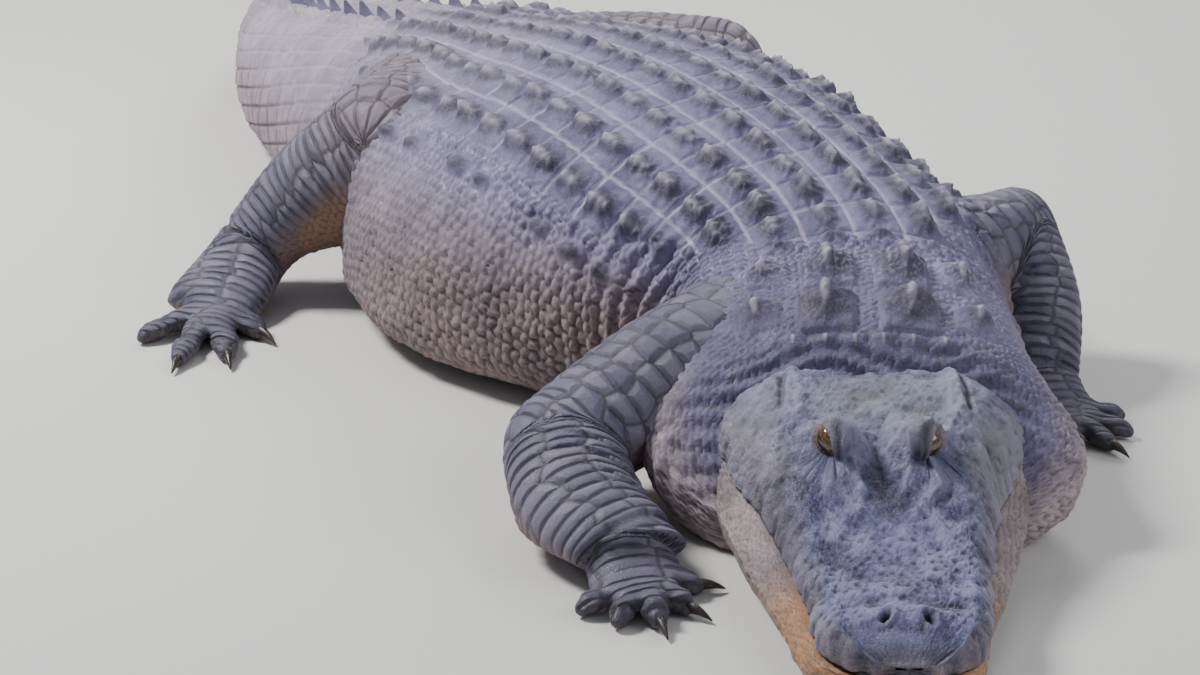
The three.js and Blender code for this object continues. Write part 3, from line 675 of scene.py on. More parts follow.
def fin(s, side, length, height, thick):
    """A blade over station s, sideways by side: an oval root that narrows to a peak leaning
    backwards. Gives the points and how far up the blade each lies."""
    al = np.linspace(0, 2 * np.pi, 14, endpoint=False)[None]
    be = np.linspace(0, 1, 9)[:, None]
    shrink = (1 - be**1.3) ** 0.8
    y = np.sin(al) * length / 2 * shrink + length * 0.34 * be**1.2
    x = np.sign(np.cos(al)) * np.abs(np.cos(al)) ** 1.4 * thick * (1 - be) ** 1.1 + 0 * be
    top = curve(BODY, s, 2)
    w = curve(BODY, s, 1)
    drop = (top - curve(BODY, s, 3)) * (1 - np.sqrt(max(1 - (side / w) ** 2, 0)))
    z = top - drop - 8 + (height + 8) * be + 0 * al
    lean = side / w * 0.5
    return place(s + y, side + x + (z - top + drop) * lean, z), be + 0 * al


def joined(parts):
    """Several closed grids as one list of points and triangles."""
    verts, faces, count = [], [], 0
    for grid in parts:
        v, f = capped(grid)
        verts.append(v)
        faces.append(f + count)
        count += len(v)
    return np.vstack(verts), np.vstack(faces)


blades, peaks = [], []
for s in np.arange(TAIL_CRESTS[0][0], 3345, TAIL_ROW):
    gap, height = (float(curve(TAIL_CRESTS, s, c)) for c in (1, 2))
    apart = max(gap / 2, 11)
    double = s < SINGLE_FROM
    for side in (apart, -apart) if double else (0.0,):
        blade, up = fin(s, side, ROW, height * (0.9 + 0.2 * rng.random()), 9 if double else 7)
        blades.append(blade)
        peaks.append(np.append(up.ravel(), [0, 1]))
verts, faces = joined(blades)
peaks = np.concatenate(peaks)
# the relief darkens the blades' upper part as on the keels, partly painted shade
crest = make_mesh("tail_crest", verts, faces, {
    "back": 0 * peaks + 1, "station": 0 * peaks + 0.3, "relief": 0.6 * peaks, "top": smooth(peaks, 0.7, 1.1)})
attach(crest, "root")
crest.data.materials.append(BODY_HIDE)


# Head
# Thick scaly skin grown on to the bone of skull and upper jaw. It is one grid of rings from snout tip to
# neck, with ridges, knobs, pits, ear slits, nostrils and eyelids pressed in, and it ends at the lips.
# SKULL rows: station, top, then half width and height of the deck, of the widest place and of the lip.
# HEAD_FORMS and HEAD_DETAIL rows: side, station, height, width and length of a swelling. RIDGES rows: side
# and station of both ends, height, width.
SKULL = [
    (0, 60, 22, 57, 29, 52, 26, 45), (9, 72, 38, 69, 49, 58, 45, 44), (24, 84, 50, 79, 66, 62, 62, 43),
    (45, 89, 54, 83, 77, 65, 74, 44), (75, 88, 54, 82, 82, 66, 79, 49), (110, 88, 57, 82, 84, 67, 82, 45),
    (150, 90, 60, 86, 88, 69, 87, 46), (200, 96, 64, 93, 95, 74, 97, 52),
    (240, 106, 66, 105, 102, 82, 106, 59), (270, 118, 68, 118, 109, 91, 113, 65),
    (300, 134, 72, 134, 115, 99, 121, 71),
    (340, 150, 76, 152, 129, 109, 137, 79), (380, 164, 78, 167, 144, 121, 150, 90),
    (415, 169, 79, 172, 154, 127, 159, 97), (445, 168, 77, 169, 153, 125, 158, 97),
    (470, 160, 70, 157, 138, 115, 144, 96)]
SNOUT_SHIFT = [(0, 7), (60, 8), (150, 8), (230, 5), (290, 1), (320, 0), (470, 0)]
HEAD_LENGTH = 470
SKULL_HEIGHT = 180
EYE_RADIUS = 21.0
EYE_AT = (42.0, 316.0, 145.0)
HEAD_FORMS = [
    (42, 318, 24, 19, 24), (0, 312, -9, 16, 30), (44, 272, 5, 10, 22), (19, 42, 7, 13, 14),
    (50, 150, 3, 20, 30)]
HEAD_DETAIL = [
    (23, 309, 12, 12, 17), (60, 283, 3, 8, 9), (14, 62, 2, 8, 8), (40, 92, 2.5, 9, 9), (62, 62, 2.5, 8, 10),
    (72, 330, 7, 7, 9), (84, 352, 5, 9, 10), (22, 352, 3, 9, 12), (0, 250, -4, 12, 26), (0, 395, -3, 40, 26),
    (30, 205, 2.5, 13, 20), (52, 215, 3, 9, 22), (0, 110, 2, 20, 34), (28, 78, -2.5, 10, 12),
    (58, 112, 2.5, 12, 16)]
RIDGES = [
    (66, 300, 52, 262, 5, 6), (52, 262, 26, 236, 5, 6), (30, 296, 20, 262, 4, 5), (77, 346, 79, 440, 5, 6),
    (79, 440, 40, 450, 4, 6), (40, 236, 54, 190, 2.5, 6), (100, 340, 120, 300, 3, 7)]


def lift(x, s, forms):
    """Sum of round swellings and hollows, the same on both sides."""
    z = 0.0
    for side, station, height, wide, long in forms:
        z = z + height * np.exp(-(((np.abs(x) - side) / wide) ** 2) - ((s - station) / long) ** 2)
    return z


def near_line(x, s, x0, s0, x1, s1):
    """Distance in plan from the segment between two places, the same on both sides."""
    dx, ds = x1 - x0, s1 - s0
    u = np.clip(((np.abs(x) - x0) * dx + (s - s0) * ds) / (dx * dx + ds * ds), 0, 1)
    return np.hypot(np.abs(x) - x0 - u * dx, s - s0 - u * ds)


def outline(control, k):
    """Catmull-Rom through control points (rows, count, 2) at places k counted in points."""
    n = control.shape[1]
    i = np.clip(np.floor(k).astype(int), 0, n - 2)
    u = (k - i)[None, :, None]
    at = lambda m: control[:, np.clip(m, 0, n - 1)]
    a, b, c, d = at(i - 1), at(i), at(i + 1), at(i + 2)
    # the midline is a mirror, so the point before the first is its neighbour's reflection
    first = control[:, 1] * np.array([-1, 1])
    a = np.where((i == 0)[None, :, None], first[:, None], a)
    return 0.5 * (2 * b + (c - a) * u + (2 * a - 5 * b + 4 * c - d) * u**2 + (3 * b - a - 3 * c + d) * u**3)


def both_sides(s, half):
    """Half outlines and their mirror images as rings of points, with side, station and height of each."""
    ring = np.concatenate([half, half[:, -2:0:-1] * np.array([-1, 1])], 1)
    x, z = ring[..., 0], ring[..., 1]
    ss = s[:, None] + 0 * x
    return np.stack([x, ss, z], -1), x, ss, z


def skull_control(s):
    """Half outline of the skull and upper jaw at each station: nine points from midline to lip."""
    top, deck, deck_z, wide, wide_z, lip, lip_z = (curve(SKULL, s, c) for c in range(1, 8))
    pts = []
    for f in (0, 0.28, 0.55, 0.8, 1):
        pts.append((deck * f, top + (deck_z - top) * f * f + lift(deck * f, s, HEAD_FORMS)))
    for f in (0.35, 0.7, 1):
        x = deck + (wide - deck) * f
        bulge = 7 * math.sin(f * math.pi) + lift(x, s, HEAD_FORMS) * (1 - f)
        pts.append((x, deck_z + (wide_z - deck_z) * f**1.3 + bulge))
    pts.append(((wide + lip) / 2 + 2, (wide_z + lip_z) / 2))
    pts.append((lip, lip_z))
    return np.stack([np.stack(q, -1) for q in pts], 1), lip, lip_z


def eye_frame(sign):
    """The eye's middle, the long axis of its slit and the way it looks, as (side, station, height)."""
    long = np.array([-0.32 * sign, -0.6, -0.72])
    look = np.array([0.78 * sign, -0.6, 0.17])
    long = long / np.linalg.norm(long)
    look = look - long * np.dot(look, long)
    look = look / np.linalg.norm(look)
    return np.array([EYE_AT[0] * sign, EYE_AT[1], EYE_AT[2]]), long, look


def head_grid():
    """Skull and upper jaw in (side, station, height): outline rings, then ridges, pits, lids, nostrils."""
    s = np.concatenate([np.array([0, 1, 2.5, 4.5, 7]), np.arange(10, 276, 2.6), np.arange(276, 352, 1.5),
                        np.arange(352, HEAD_LENGTH + 1, 2.6), [HEAD_LENGTH]])
    s = np.unique(np.clip(s, 0, HEAD_LENGTH))
    control, lip, lip_z = skull_control(s)
    k = np.concatenate([np.linspace(0, 1.2, 12, endpoint=False), np.linspace(1.2, 5.2, 62, endpoint=False),
                        np.linspace(5.2, 9, 50)])
    half = outline(control, k)
    under = np.stack([np.stack([lip * f, lip_z], -1) for f in (0.9, 0.7, 0.45, 0.2, 0.0)], 1)
    half = np.concatenate([half, under], 1)
    p, x, ss, z = both_sides(s, half)
    n = grid_normals(p)
    kk = np.concatenate([k, np.full(5, 10.0)])
    kk = np.concatenate([kk, kk[-2:0:-1]])[None] + 0 * x
    upper = (kk < 9.3).astype(float)
    face = np.clip(n[..., 2], 0, 1)
    d = lift(x, ss, HEAD_DETAIL) * face
    for x0, s0, x1, s1, h, w in RIDGES:
        d = d + h * np.exp(-((near_line(x, ss, x0, s0, x1, s1) / w) ** 2)) * smooth(face, 0.05, 0.4)
    # pits and rough bone on the snout, coarser in front
    d1, e1, n1 = cells(x + 4 * np.sin(ss / 17), ss, 9.5, 10.5, 0.6, seed=2)
    _, e2, _ = cells(x, ss, 5.2, 5.2, 0.6, seed=4)
    rough = smooth(ss, 0, 60) * (1 - 0.45 * smooth(ss, 120, 260))
    pits = np.exp(-((d1 / 0.30) ** 2)) * (n1 > 0.5)
    apart = x + 300
    lumps = 2.0 * rolling(apart, ss, 26, 1) + 1.7 * rolling(apart, ss, 13, 2)
    lumps = lumps + 0.9 * rolling(apart, ss, 6, 3)
    d = d + upper * (rough * (1.5 * smooth(e1, 0, 0.4) - 2.4 * pits) + 0.5 * smooth(e2, 0, 0.4))
    d = d + upper * lumps * smooth(ss, 0, 30)
    # the long pits on the side of the snout
    side = np.clip(1 - face, 0, 1)
    dents = smooth(np.sin(ss * 2 * np.pi / 21) + 0.4 * np.sin(ss / 5), 0.4, 1.2)
    d = d - 1.6 * side * dents * (ss < 300) * upper
    # lip: the swellings over the teeth
    lipz = lip_z[:, None]
    near_lip = np.exp(-(((z - lipz - 4) / 7) ** 2)) * upper * (1 - face)
    swell = 1.2 + 0.9 * np.sin(ss * 2 * np.pi / 24.0 + 2 * rolling(ss, x, 60, 4))
    d = d + near_lip * swell * smooth(ss, 5, 30)
    # large scales behind the eye, over the jaw muscle
    _, e4, _ = cells(ss, z * 1.2 + np.abs(x) * 0.5, 15, 12, 0.5, seed=6)
    cheek = smooth(ss, 300, 345) * side * upper
    d = d + cheek * 1.8 * smooth(e4, 0, 0.3)
    # ear slit under the edge of the skull deck
    ear = np.exp(-((near_line(x, ss, 96, 372, 92, 432) / 4.0) ** 2)) * upper
    d = d - 7 * ear
    d = d + 5 * np.exp(-((near_line(x, ss, 88, 366, 86, 436) / 5) ** 2)) * upper
    # knobs holds the relief's height for the material: painted shade in the hollows, paler on the raised
    # knobs
    knobs = np.clip(d / 9 + 0.45, 0, 1) * upper
    mouth = np.exp(-(((z - lipz) / 2.2) ** 2)) * (1 - face) * (ss > 3)
    q = p + n * (d - 2.0 * upper - 1.5 * mouth)[..., None]
    # painted shadow: dark starts with the line of shade under the upper lip. Nostrils: a crescent pit inside
    # a raised rim, its hole darkened as painted shade
    dark = 0.8 * mouth
    for sign in (1, -1):
        u = (x - sign * 20) * math.cos(0.5 * sign) + (ss - 38) * math.sin(0.5 * sign)
        v = -(x - sign * 20) * math.sin(0.5 * sign) + (ss - 38) * math.cos(0.5 * sign)
        r = np.hypot(u / 6.0, v / 9.0)
        hole = (1 - smooth(r, 0.55, 1.05)) * smooth(face, 0.2, 0.5)
        rim = np.exp(-(((r - 1.35) / 0.3) ** 2)) * smooth(face, 0.2, 0.5)
        q = q + n * (1.8 * rim - 9 * hole)[..., None]
        dark = np.maximum(dark, hole)
    # lids: the skin hugs the eyeball and parts in an almond, with a raised rim
    pink = np.zeros(x.shape)
    for sign in (1, -1):
        c, long, look = eye_frame(sign)
        v = q - c
        r = np.linalg.norm(v, axis=-1)
        w = v / (r[..., None] + 1e-9)
        across = np.cross(look, long)
        u1 = w @ long
        u2 = w @ across
        u3 = w @ look
        ang1 = np.arctan2(u1, u3) * EYE_RADIUS
        ang2 = -sign * np.arctan2(u2, u3) * EYE_RADIUS
        edge = 10.5 * np.clip(1 - (ang1 / 24.0) ** 2, 0, 1) - np.abs(ang2 - 0.5)
        within = (1 - smooth(np.abs(ang1), 21, 26)) * (1 - smooth(r, EYE_RADIUS + 7, EYE_RADIUS + 12))
        near = 1 - smooth(r, EYE_RADIUS + 16, EYE_RADIUS + 34)
        crease = rolling(ang1 * 0.5, ang2, 5.0, 2)
        outer = EYE_RADIUS + 3.4 + crease * 0.5
        outer = outer + 1.8 * np.exp(-(((edge + 2.6) / 2.2) ** 2)) * (u3 > 0)
        outer = outer - 1.8 * np.exp(-(((edge + 8.5) / 1.8) ** 2)) * (u3 > 0)
        outer = outer + 1.4 * np.exp(-(((edge + 13) / 2.6) ** 2)) * (u3 > 0)
        outer = outer + 7.0 * smooth(ang2, 8, 22) * smooth(u3, -0.5, 0.1) * (1 - smooth(np.abs(ang1), 16, 34))
        covered = np.maximum(r, outer)
        hug = (1 - smooth(r, EYE_RADIUS + 9, EYE_RADIUS + 22)) * smooth(u3, 0.0, 0.45)
        new_r = covered + (outer - covered) * hug
        slit = smooth(edge, -0.7, 0.7) * (u3 > 0.15) * (r < EYE_RADIUS + 40)
        new_r = new_r + (EYE_RADIUS - 4.0 - new_r) * slit
        q = np.where(near[..., None] > 0, c + w * new_r[..., None], q)
        pink = np.maximum(pink, np.exp(-(((edge + 0.8) / 2.0) ** 2)) * (u3 > 0.3) * (near > 0.5) * within)
        # painted shade: the crease of the lid fold is darkened
        fold = 0.8 * np.exp(-(((edge + 8.5) / 1.6) ** 2)) * (u3 > 0.2) * (near > 0.5) * within
        dark = np.maximum(dark, fold)
    pits_mask = pits * rough * upper
    slope = upper * smooth(1 - face, 0.12, 0.5)
    return q, ss, dark, pink, pits_mask, slope, knobs


def to_world(q, shifted=False):
    """(side, station, height) as points of the model; the upper jaw sits a little to the left in front."""
    shift = curve(SNOUT_SHIFT, q[..., 1]) if shifted else 0.0
    return place(q[..., 1], q[..., 0] + shift, q[..., 2])


def head_hide():
    """Blue-violet grey with a whitish dusting and a faint green, tan along the lip; painted shade in the
    mouth line, the nostrils, the lid crease, the pits and the hollows between the knobs.
    """
    m, tree, shader, blotch = blotched_material("head_hide")
    pink = attribute(tree, "pink")
    dark = attribute(tree, "dark")
    tone = blend(tree, blotch["Slow"], (0.25, 0.26, 0.41), (0.38, 0.38, 0.54))
    up = attribute(tree, "height")
    station = attribute(tree, "station")
    slope = attribute(tree, "slope")
    pits = attribute(tree, "pits")
    pale = blend(tree, blotch["Slow"], (0.50, 0.46, 0.48), (0.58, 0.54, 0.56))
    tone = blend(tree, times(tree, slope, 0.75), tone, pale)
    low = inverse(tree, step_node(tree, up, 0.24, 0.36))
    front = inverse(tree, step_node(tree, station, 0.10, 0.45))
    base = blend(tree, times(tree, low, times(tree, front, 0.6)), tone, (0.56, 0.44, 0.36))
    knobs = attribute(tree, "knobs")
    # painted shade: the lower the relief, the darker, deepest in the hollows between the knobs, the pits, the
    # dents and the ear slit
    between = math_node(tree, "SUBTRACT", 0.85, step_node(tree, knobs, 0.15, 0.6), clamp=True)
    base = blend(tree, between, base, (0.15, 0.14, 0.20))
    base = over(tree, base, blotch["Quick"], 0.42, (0.18, 0.17, 0.25))
    # the raised knobs are made paler, the higher the paler, and the whitish speckle is added to them
    worn = times(tree, step_node(tree, knobs, 0.45, 0.9), 0.42)
    chalk = math_node(tree, "MULTIPLY_ADD", blotch["Speckle"], 0.22, worn)
    base = blend(tree, chalk, base, (0.58, 0.58, 0.70))
    rear = times(tree, step_node(tree, station, 0.5, 0.8), 0.35)
    base = blend(tree, rear, base, (0.60, 0.58, 0.64))
    algae = times(tree, step_node(tree, station, 0.45, 0.7), times(tree, blotch["Slow"], 0.22))
    base = blend(tree, algae, base, (0.36, 0.42, 0.24))
    # painted shade: the pits of the snout are painted nearly black
    base = over(tree, base, pits, 0.85, (0.10, 0.09, 0.13))
    # painted shadow and shade: the mouth line under the upper lip, the nostril holes and the lid crease are
    # painted nearly black
    base = over(tree, base, dark, 0.9, (0.08, 0.07, 0.08))
    base = over(tree, base, pink, 0.5, (0.58, 0.47, 0.48))
    finish_hide(tree, shader, base, 0.42, 0.7, blotch["Quick"], 0.7)
    return m


q, ss, dark, pink, pits, slope, knobs = head_grid()
verts, faces = capped(to_world(q, True))
values = {"pink": pink, "dark": dark, "station": ss / HEAD_LENGTH, "slope": slope, "pits": pits,
          "knobs": knobs, "height": q[..., 2] / SKULL_HEIGHT}
head = make_mesh("skin_head", verts, faces, {key: with_caps(v) for key, v in values.items()})
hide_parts("head")
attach(head, "root")
head.data.materials.append(head_hide())


# Lower jaw
# The bony jaw under its scaly skin, wider than the upper lip behind. It is one grid of rings that follows the
# upper lip above and lies on the floor below. JAW rows: station, widest half width and its height.
JAW = [
    (4, 24, 22), (14, 48, 22), (30, 68, 22), (50, 82, 24), (80, 90, 26), (115, 96, 26), (150, 104, 28),
    (200, 120, 32), (240, 131, 36), (280, 142, 40), (330, 154, 45), (380, 162, 52), (420, 160, 56),
    (450, 150, 56), (470, 136, 54)]
JAW_HEIGHT = 60


def jaw_grid():
    """Rings of the jaw: flat where it meets the upper lip, a rounded side, flat on the floor, then scales."""
    s = np.unique(np.concatenate([[4, 5, 7, 9.5], np.arange(12, HEAD_LENGTH, 3.0), [HEAD_LENGTH]]))
    lip, lip_z = curve(SKULL, s, 6), curve(SKULL, s, 7)
    w, wz = curve(JAW, s, 1), curve(JAW, s, 2)
    tz = lip_z - 0.6
    start = np.minimum(lip - 3, w - 4)
    wide = w - start
    deep = tz - wz
    pts = [(start - 12, tz), (start, tz), (start + wide * 0.35, tz - deep * 0.12),
           (start + wide * 0.68, tz - deep * 0.40), (start + wide * 0.9, tz - deep * 0.70), (w, wz),
           (w * 0.93, wz * 0.40), (w * 0.76, 0 * w), (w * 0.5, 0 * w)]
    control = np.stack([np.stack(q, -1) for q in pts], 1)
    half = outline(control, np.linspace(1, 8, 68))
    inner = np.stack([np.stack([lip * f, tz], -1) for f in (0.0, 0.4, 0.8)], 1)
    under = np.stack([np.stack([w * f, 0 * w], -1) for f in (0.25, 0.0)], 1)
    half = np.concatenate([inner, half, under], 1)
    p, x, ss, z = both_sides(s, half)
    n = grid_normals(p)
    steps = np.linalg.norm(np.diff(np.stack([x, z], -1), axis=1), axis=2)
    a = np.cumsum(np.concatenate([np.zeros((len(s), 1)), steps], 1), 1)
    d1, e1, n1 = cells(ss + 5 * rolling(ss, a, 30, 2), a, 12.5, 9.5, 0.6, seed=8)
    side = smooth(np.abs(n[..., 0]), 0.1, 0.35) * (z > 3)
    d = side * ((1.3 * smooth(e1, 0.0, 0.3) + 0.6 * np.clip(1 - 1.7 * d1, 0, 1)) * (0.6 + 0.7 * n1) - 1.4)
    d = d + side * (1.6 * rolling(ss, a, 34, 3) + 0.8 * rolling(ss, a, 12, 4))
    q = p + n * d[..., None]
    q[..., 2] = np.clip(q[..., 2], 0, (tz[:, None] + 0.2))
    return q, ss, 1 - smooth(e1, 0, 0.2)


def jaw_hide():
    """Tan and orange-brown in front, pale brown behind."""
    m, tree, shader, blotch = blotched_material("jaw_hide")
    station = attribute(tree, "station")
    dark = attribute(tree, "dark")
    front = blend(tree, blotch["Slow"], (0.70, 0.51, 0.34), (0.60, 0.46, 0.37))
    rear = blend(tree, blotch["Slow"], (0.52, 0.47, 0.48), (0.66, 0.60, 0.59))
    up = attribute(tree, "height")
    front = blend(tree, step_node(tree, up, 0.25, 0.5), rear, front)
    base = blend(tree, step_node(tree, station, 0.25, 0.5), front, rear)
    # painted shade: the seams between the scales are darkened
    base = over(tree, base, dark, 0.5, (0.27, 0.21, 0.20))
    base = over(tree, base, blotch["Quick"], 0.3, (0.33, 0.28, 0.29))
    finish_hide(tree, shader, base, 0.4, 0.65, blotch["Quick"], 0.6)
    return m


q, ss, dark = jaw_grid()
verts, faces = capped(to_world(q))
values = {"dark": dark, "station": ss / HEAD_LENGTH, "height": q[..., 2] / JAW_HEIGHT}
jaw = make_mesh("skin_jaw", verts, faces, {key: with_caps(v) for key, v in values.items()})
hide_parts("lower_jaw")
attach(jaw, "root")
jaw.data.materials.append(jaw_hide())


# Eyes
# Two wet balls with a slit pupil, turned outwards and forwards. Each is a sphere with a slight bulge in
# front, under the lids.


def eye_gloss():
    """Brown iris with a dark slit under a clear, wet surface."""
    m = bpy.data.materials.new("eye_gloss")
    m.use_nodes = True
    tree = m.node_tree
    shader = tree.nodes["Principled BSDF"]
    along, across, front = (attribute(tree, key) for key in ("along", "across", "front"))
    place_on = add(tree, "ShaderNodeTexCoord").outputs["Object"]
    noise = add(tree, "ShaderNodeTexNoise", {"Vector": place_on}, Scale=420.0, Detail=4.0)
    flecks = step_node(tree, noise.outputs[0], 0.35, 0.65)
    iris = blend(tree, flecks, (0.24, 0.17, 0.09), (0.42, 0.31, 0.15))
    wide = times(tree, inverse(tree, math_node(tree, "ABSOLUTE", along)), 0.14)
    beside = math_node(tree, "SUBTRACT", math_node(tree, "ABSOLUTE", across), wide)
    slit = step_node(tree, beside, -0.03, 0.03)
    base = blend(tree, slit, (0.01, 0.01, 0.01), iris)
    rim = step_node(tree, front, 0.45, 0.75)
    base = blend(tree, rim, (0.12, 0.08, 0.06), base)
    tree.links.new(base, shader.inputs["Base Color"])
    shader.inputs["Roughness"].default_value = 0.08
    shader.inputs["Coat Weight"].default_value = 1.0
    shader.inputs["Coat Roughness"].default_value = 0.03
    return m


EYE_GLOSS = eye_gloss()
for name, sign in (("eye_left", 1), ("eye_right", -1)):
    c, long, look = eye_frame(sign)
    across = np.cross(look, long)
    lat = np.linspace(0, np.pi, 41)[:, None]
    lon = np.linspace(0, 2 * np.pi, 48, endpoint=False)[None]
    r = EYE_RADIUS * (1 + 0.05 * np.exp(-((lat / 0.55) ** 2)))
    x1 = r * np.sin(lat) * np.cos(lon)
    x2 = r * np.sin(lat) * np.sin(lon)
    x3 = r * np.cos(lat) + 0 * lon
    q = c + x1[..., None] * long + x2[..., None] * across + x3[..., None] * look
    verts, faces = capped(to_world(q[1:-1]))
    front = np.append((x3 / EYE_RADIUS)[1:-1].ravel(), [1, -1])
    eye = make_mesh("ball_" + name, verts, faces, {
        "along": with_caps(x1[1:-1] / EYE_RADIUS),
        "across": with_caps(x2[1:-1] / EYE_RADIUS), "front": front})
    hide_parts(name)
    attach(eye, "root")
    eye.data.materials.append(EYE_GLOSS)


# Legs
# Each leg is skin over bone and muscle: round-ended sweeps for the upper leg, lower leg, palm and toes are
# run together, smoothed where they meet, blended into the flank and covered with rows of wide scales.


def swept(path, count, sides):
    """Ellipses across a path, with rings that shrink round a ball at each end."""
    last = len(path) - 1
    bulge = np.array([-0.97, -0.85, -0.65, -0.4, -0.2])
    u = np.concatenate([0 * bulge, np.linspace(0, last, count + 1), last + 0 * bulge])
    b = np.concatenate([bulge, np.zeros(count + 1), -bulge[::-1]])
    c, w, h, a, side, up = path_frames(path, u)
    f = np.cos(np.abs(b) * np.pi / 2)
    c = c + a * (np.sin(b * np.pi / 2) * np.minimum(w, h))[:, None]
    t = np.linspace(0, 2 * np.pi, sides, endpoint=False)
    p = (c[:, None] + side[:, None] * (w * f)[:, None, None] * np.cos(t)[None, :, None]
         + up[:, None] * (h * f)[:, None, None] * np.sin(t)[None, :, None])
    return p


# share of the toe's length, rise and thickness against its radius, with a swelling at each knuckle
TOE_KNUCKLES = [(0, 2, 1.45), (0.28, 8, 1.18), (0.46, 9, 1.36), (0.64, 6, 1.06), (0.82, 6, 1.24), (1, 2, 0.8)]


def toe_path(ball, toe):
    """Rows of a toe: from the ball of the foot over a slight arch to a tip near the floor."""
    x, y, r, _ = toe
    d = np.array([x - ball[0], y - ball[1]])
    d = d / np.linalg.norm(d)
    a = np.array([ball[0] + d[0] * 10, ball[1] + d[1] * 10, r * 0.95])
    b = np.array([x, y, r * 0.55])
    rows = []
    for f, rise, k in TOE_KNUCKLES:
        q = a + (b - a) * f
        rows.append((q[0], q[1], q[2] + rise, r * k, r * k * 0.9))
    return rows


def run_together(verts, faces, voxel):
    """One closed surface round all the given closed ones, as points and quads, through a voxel remesh."""
    o = make_mesh("draft", verts, faces)
    m = o.modifiers.new("remesh", "REMESH")
    m.mode = "VOXEL"
    m.voxel_size = voxel * 0.001
    m.adaptivity = 0
    graph = bpy.context.evaluated_depsgraph_get()
    e = o.evaluated_get(graph).to_mesh()
    v = np.empty(len(e.vertices) * 3)
    e.vertices.foreach_get("co", v)
    loops = np.empty(len(e.loops), np.int32)
    e.loops.foreach_get("vertex_index", loops)
    start = np.empty(len(e.polygons), np.int32)
    e.polygons.foreach_get("loop_start", start)
    total = np.empty(len(e.polygons), np.int32)
    e.polygons.foreach_get("loop_total", total)
    keep = start[total == 4]
    quads = loops[keep[:, None] + np.arange(4)]
    data = o.data
    bpy.data.objects.remove(o)
    bpy.data.meshes.remove(data)
    return v.reshape(-1, 3) * 1000, quads


def smoothed(v, quads, times, weight):
    """Points moved towards the middle of their neighbours several times, each by its weight."""
    e = np.concatenate([quads[:, [0, 1]], quads[:, [1, 2]], quads[:, [2, 3]], quads[:, [3, 0]]])
    n = np.bincount(e[:, 0], minlength=len(v)) + np.bincount(e[:, 1], minlength=len(v))
    for _ in range(times):
        total = np.stack([np.bincount(e[:, 0], v[e[:, 1], k], len(v)) +
                          np.bincount(e[:, 1], v[e[:, 0], k], len(v)) for k in range(3)], 1)
        v = v + (total / np.maximum(n, 1)[:, None] - v) * weight[:, None]
    return v


def point_normals(v, quads):
    """Unit normals at points from the quads' diagonals."""
    n = np.cross(v[quads[:, 2]] - v[quads[:, 0]], v[quads[:, 3]] - v[quads[:, 1]])
    out = np.stack([sum(np.bincount(quads[:, k], n[:, c], len(v)) for k in range(4)) for c in range(3)], 1)
    return out / (np.linalg.norm(out, axis=1, keepdims=True) + 1e-9)


def along_paths(v, paths, count=110):
    """For each point the nearest place on a chain of paths: way along in mm, angle round it, radius there and
    distance to its side. The chain's length comes last."""
    cs, sides, ups, ways, radii = [], [], [], [], []
    way = 0.0
    for path in paths:
        c, w, h, a, side, up = path_frames(path, np.linspace(0, len(path) - 1, count))
        step = np.append(0, np.cumsum(np.linalg.norm(np.diff(c, axis=0), axis=1)))
        cs.append(c)
        sides.append(side)
        ups.append(up)
        ways.append(way + step)
        radii.append((w + h) / 2)
        way += step[-1]
    c, side, up, s, r = (np.concatenate(x) for x in (cs, sides, ups, ways, radii))
    best = np.full(len(v), 1e9)
    index = np.zeros(len(v), int)
    for k in range(len(c)):
        d = np.linalg.norm(v - c[k], axis=1) - r[k] * 0.6
        near = d < best
        best = np.where(near, d, best)
        index = np.where(near, k, index)
    d = v - c[index]
    x = np.einsum("ij,ij->i", d, side[index])
    z = np.einsum("ij,ij->i", d, up[index])
    a = np.cross(up, side)
    extra = np.einsum("ij,ij->i", d, -a[index])
    return s[index] + extra, np.arctan2(x, z), r[index], x, way


def body_distance(v):
    """Rough signed distance of points from the body's oval section at their station."""
    flat = MID_P
    idx = np.zeros(len(v), int)
    best = np.full(len(v), 1e12)
    for k in range(60, 500, 4):
        d = (v[:, 0] - flat[k, 0]) ** 2 + (v[:, 1] - flat[k, 1]) ** 2
        near = d < best
        best = np.where(near, d, best)
        idx = np.where(near, k, idx)
    s = MID_S[idx]
    side = (v[:, 0] - flat[idx, 0]) * np.cos(MID_A[idx]) - (v[:, 1] - flat[idx, 1]) * np.sin(MID_A[idx])
    w, top, mid, low = (curve(BODY, s, c) for c in (1, 2, 3, 4))
    z = np.where(v[:, 2] > mid, (v[:, 2] - mid) / (top - mid), (v[:, 2] - mid) / (mid - low))
    r = np.sqrt((side / w) ** 2 + z**2)
    return (r - 1) * np.minimum(w, top - mid) * 1.1


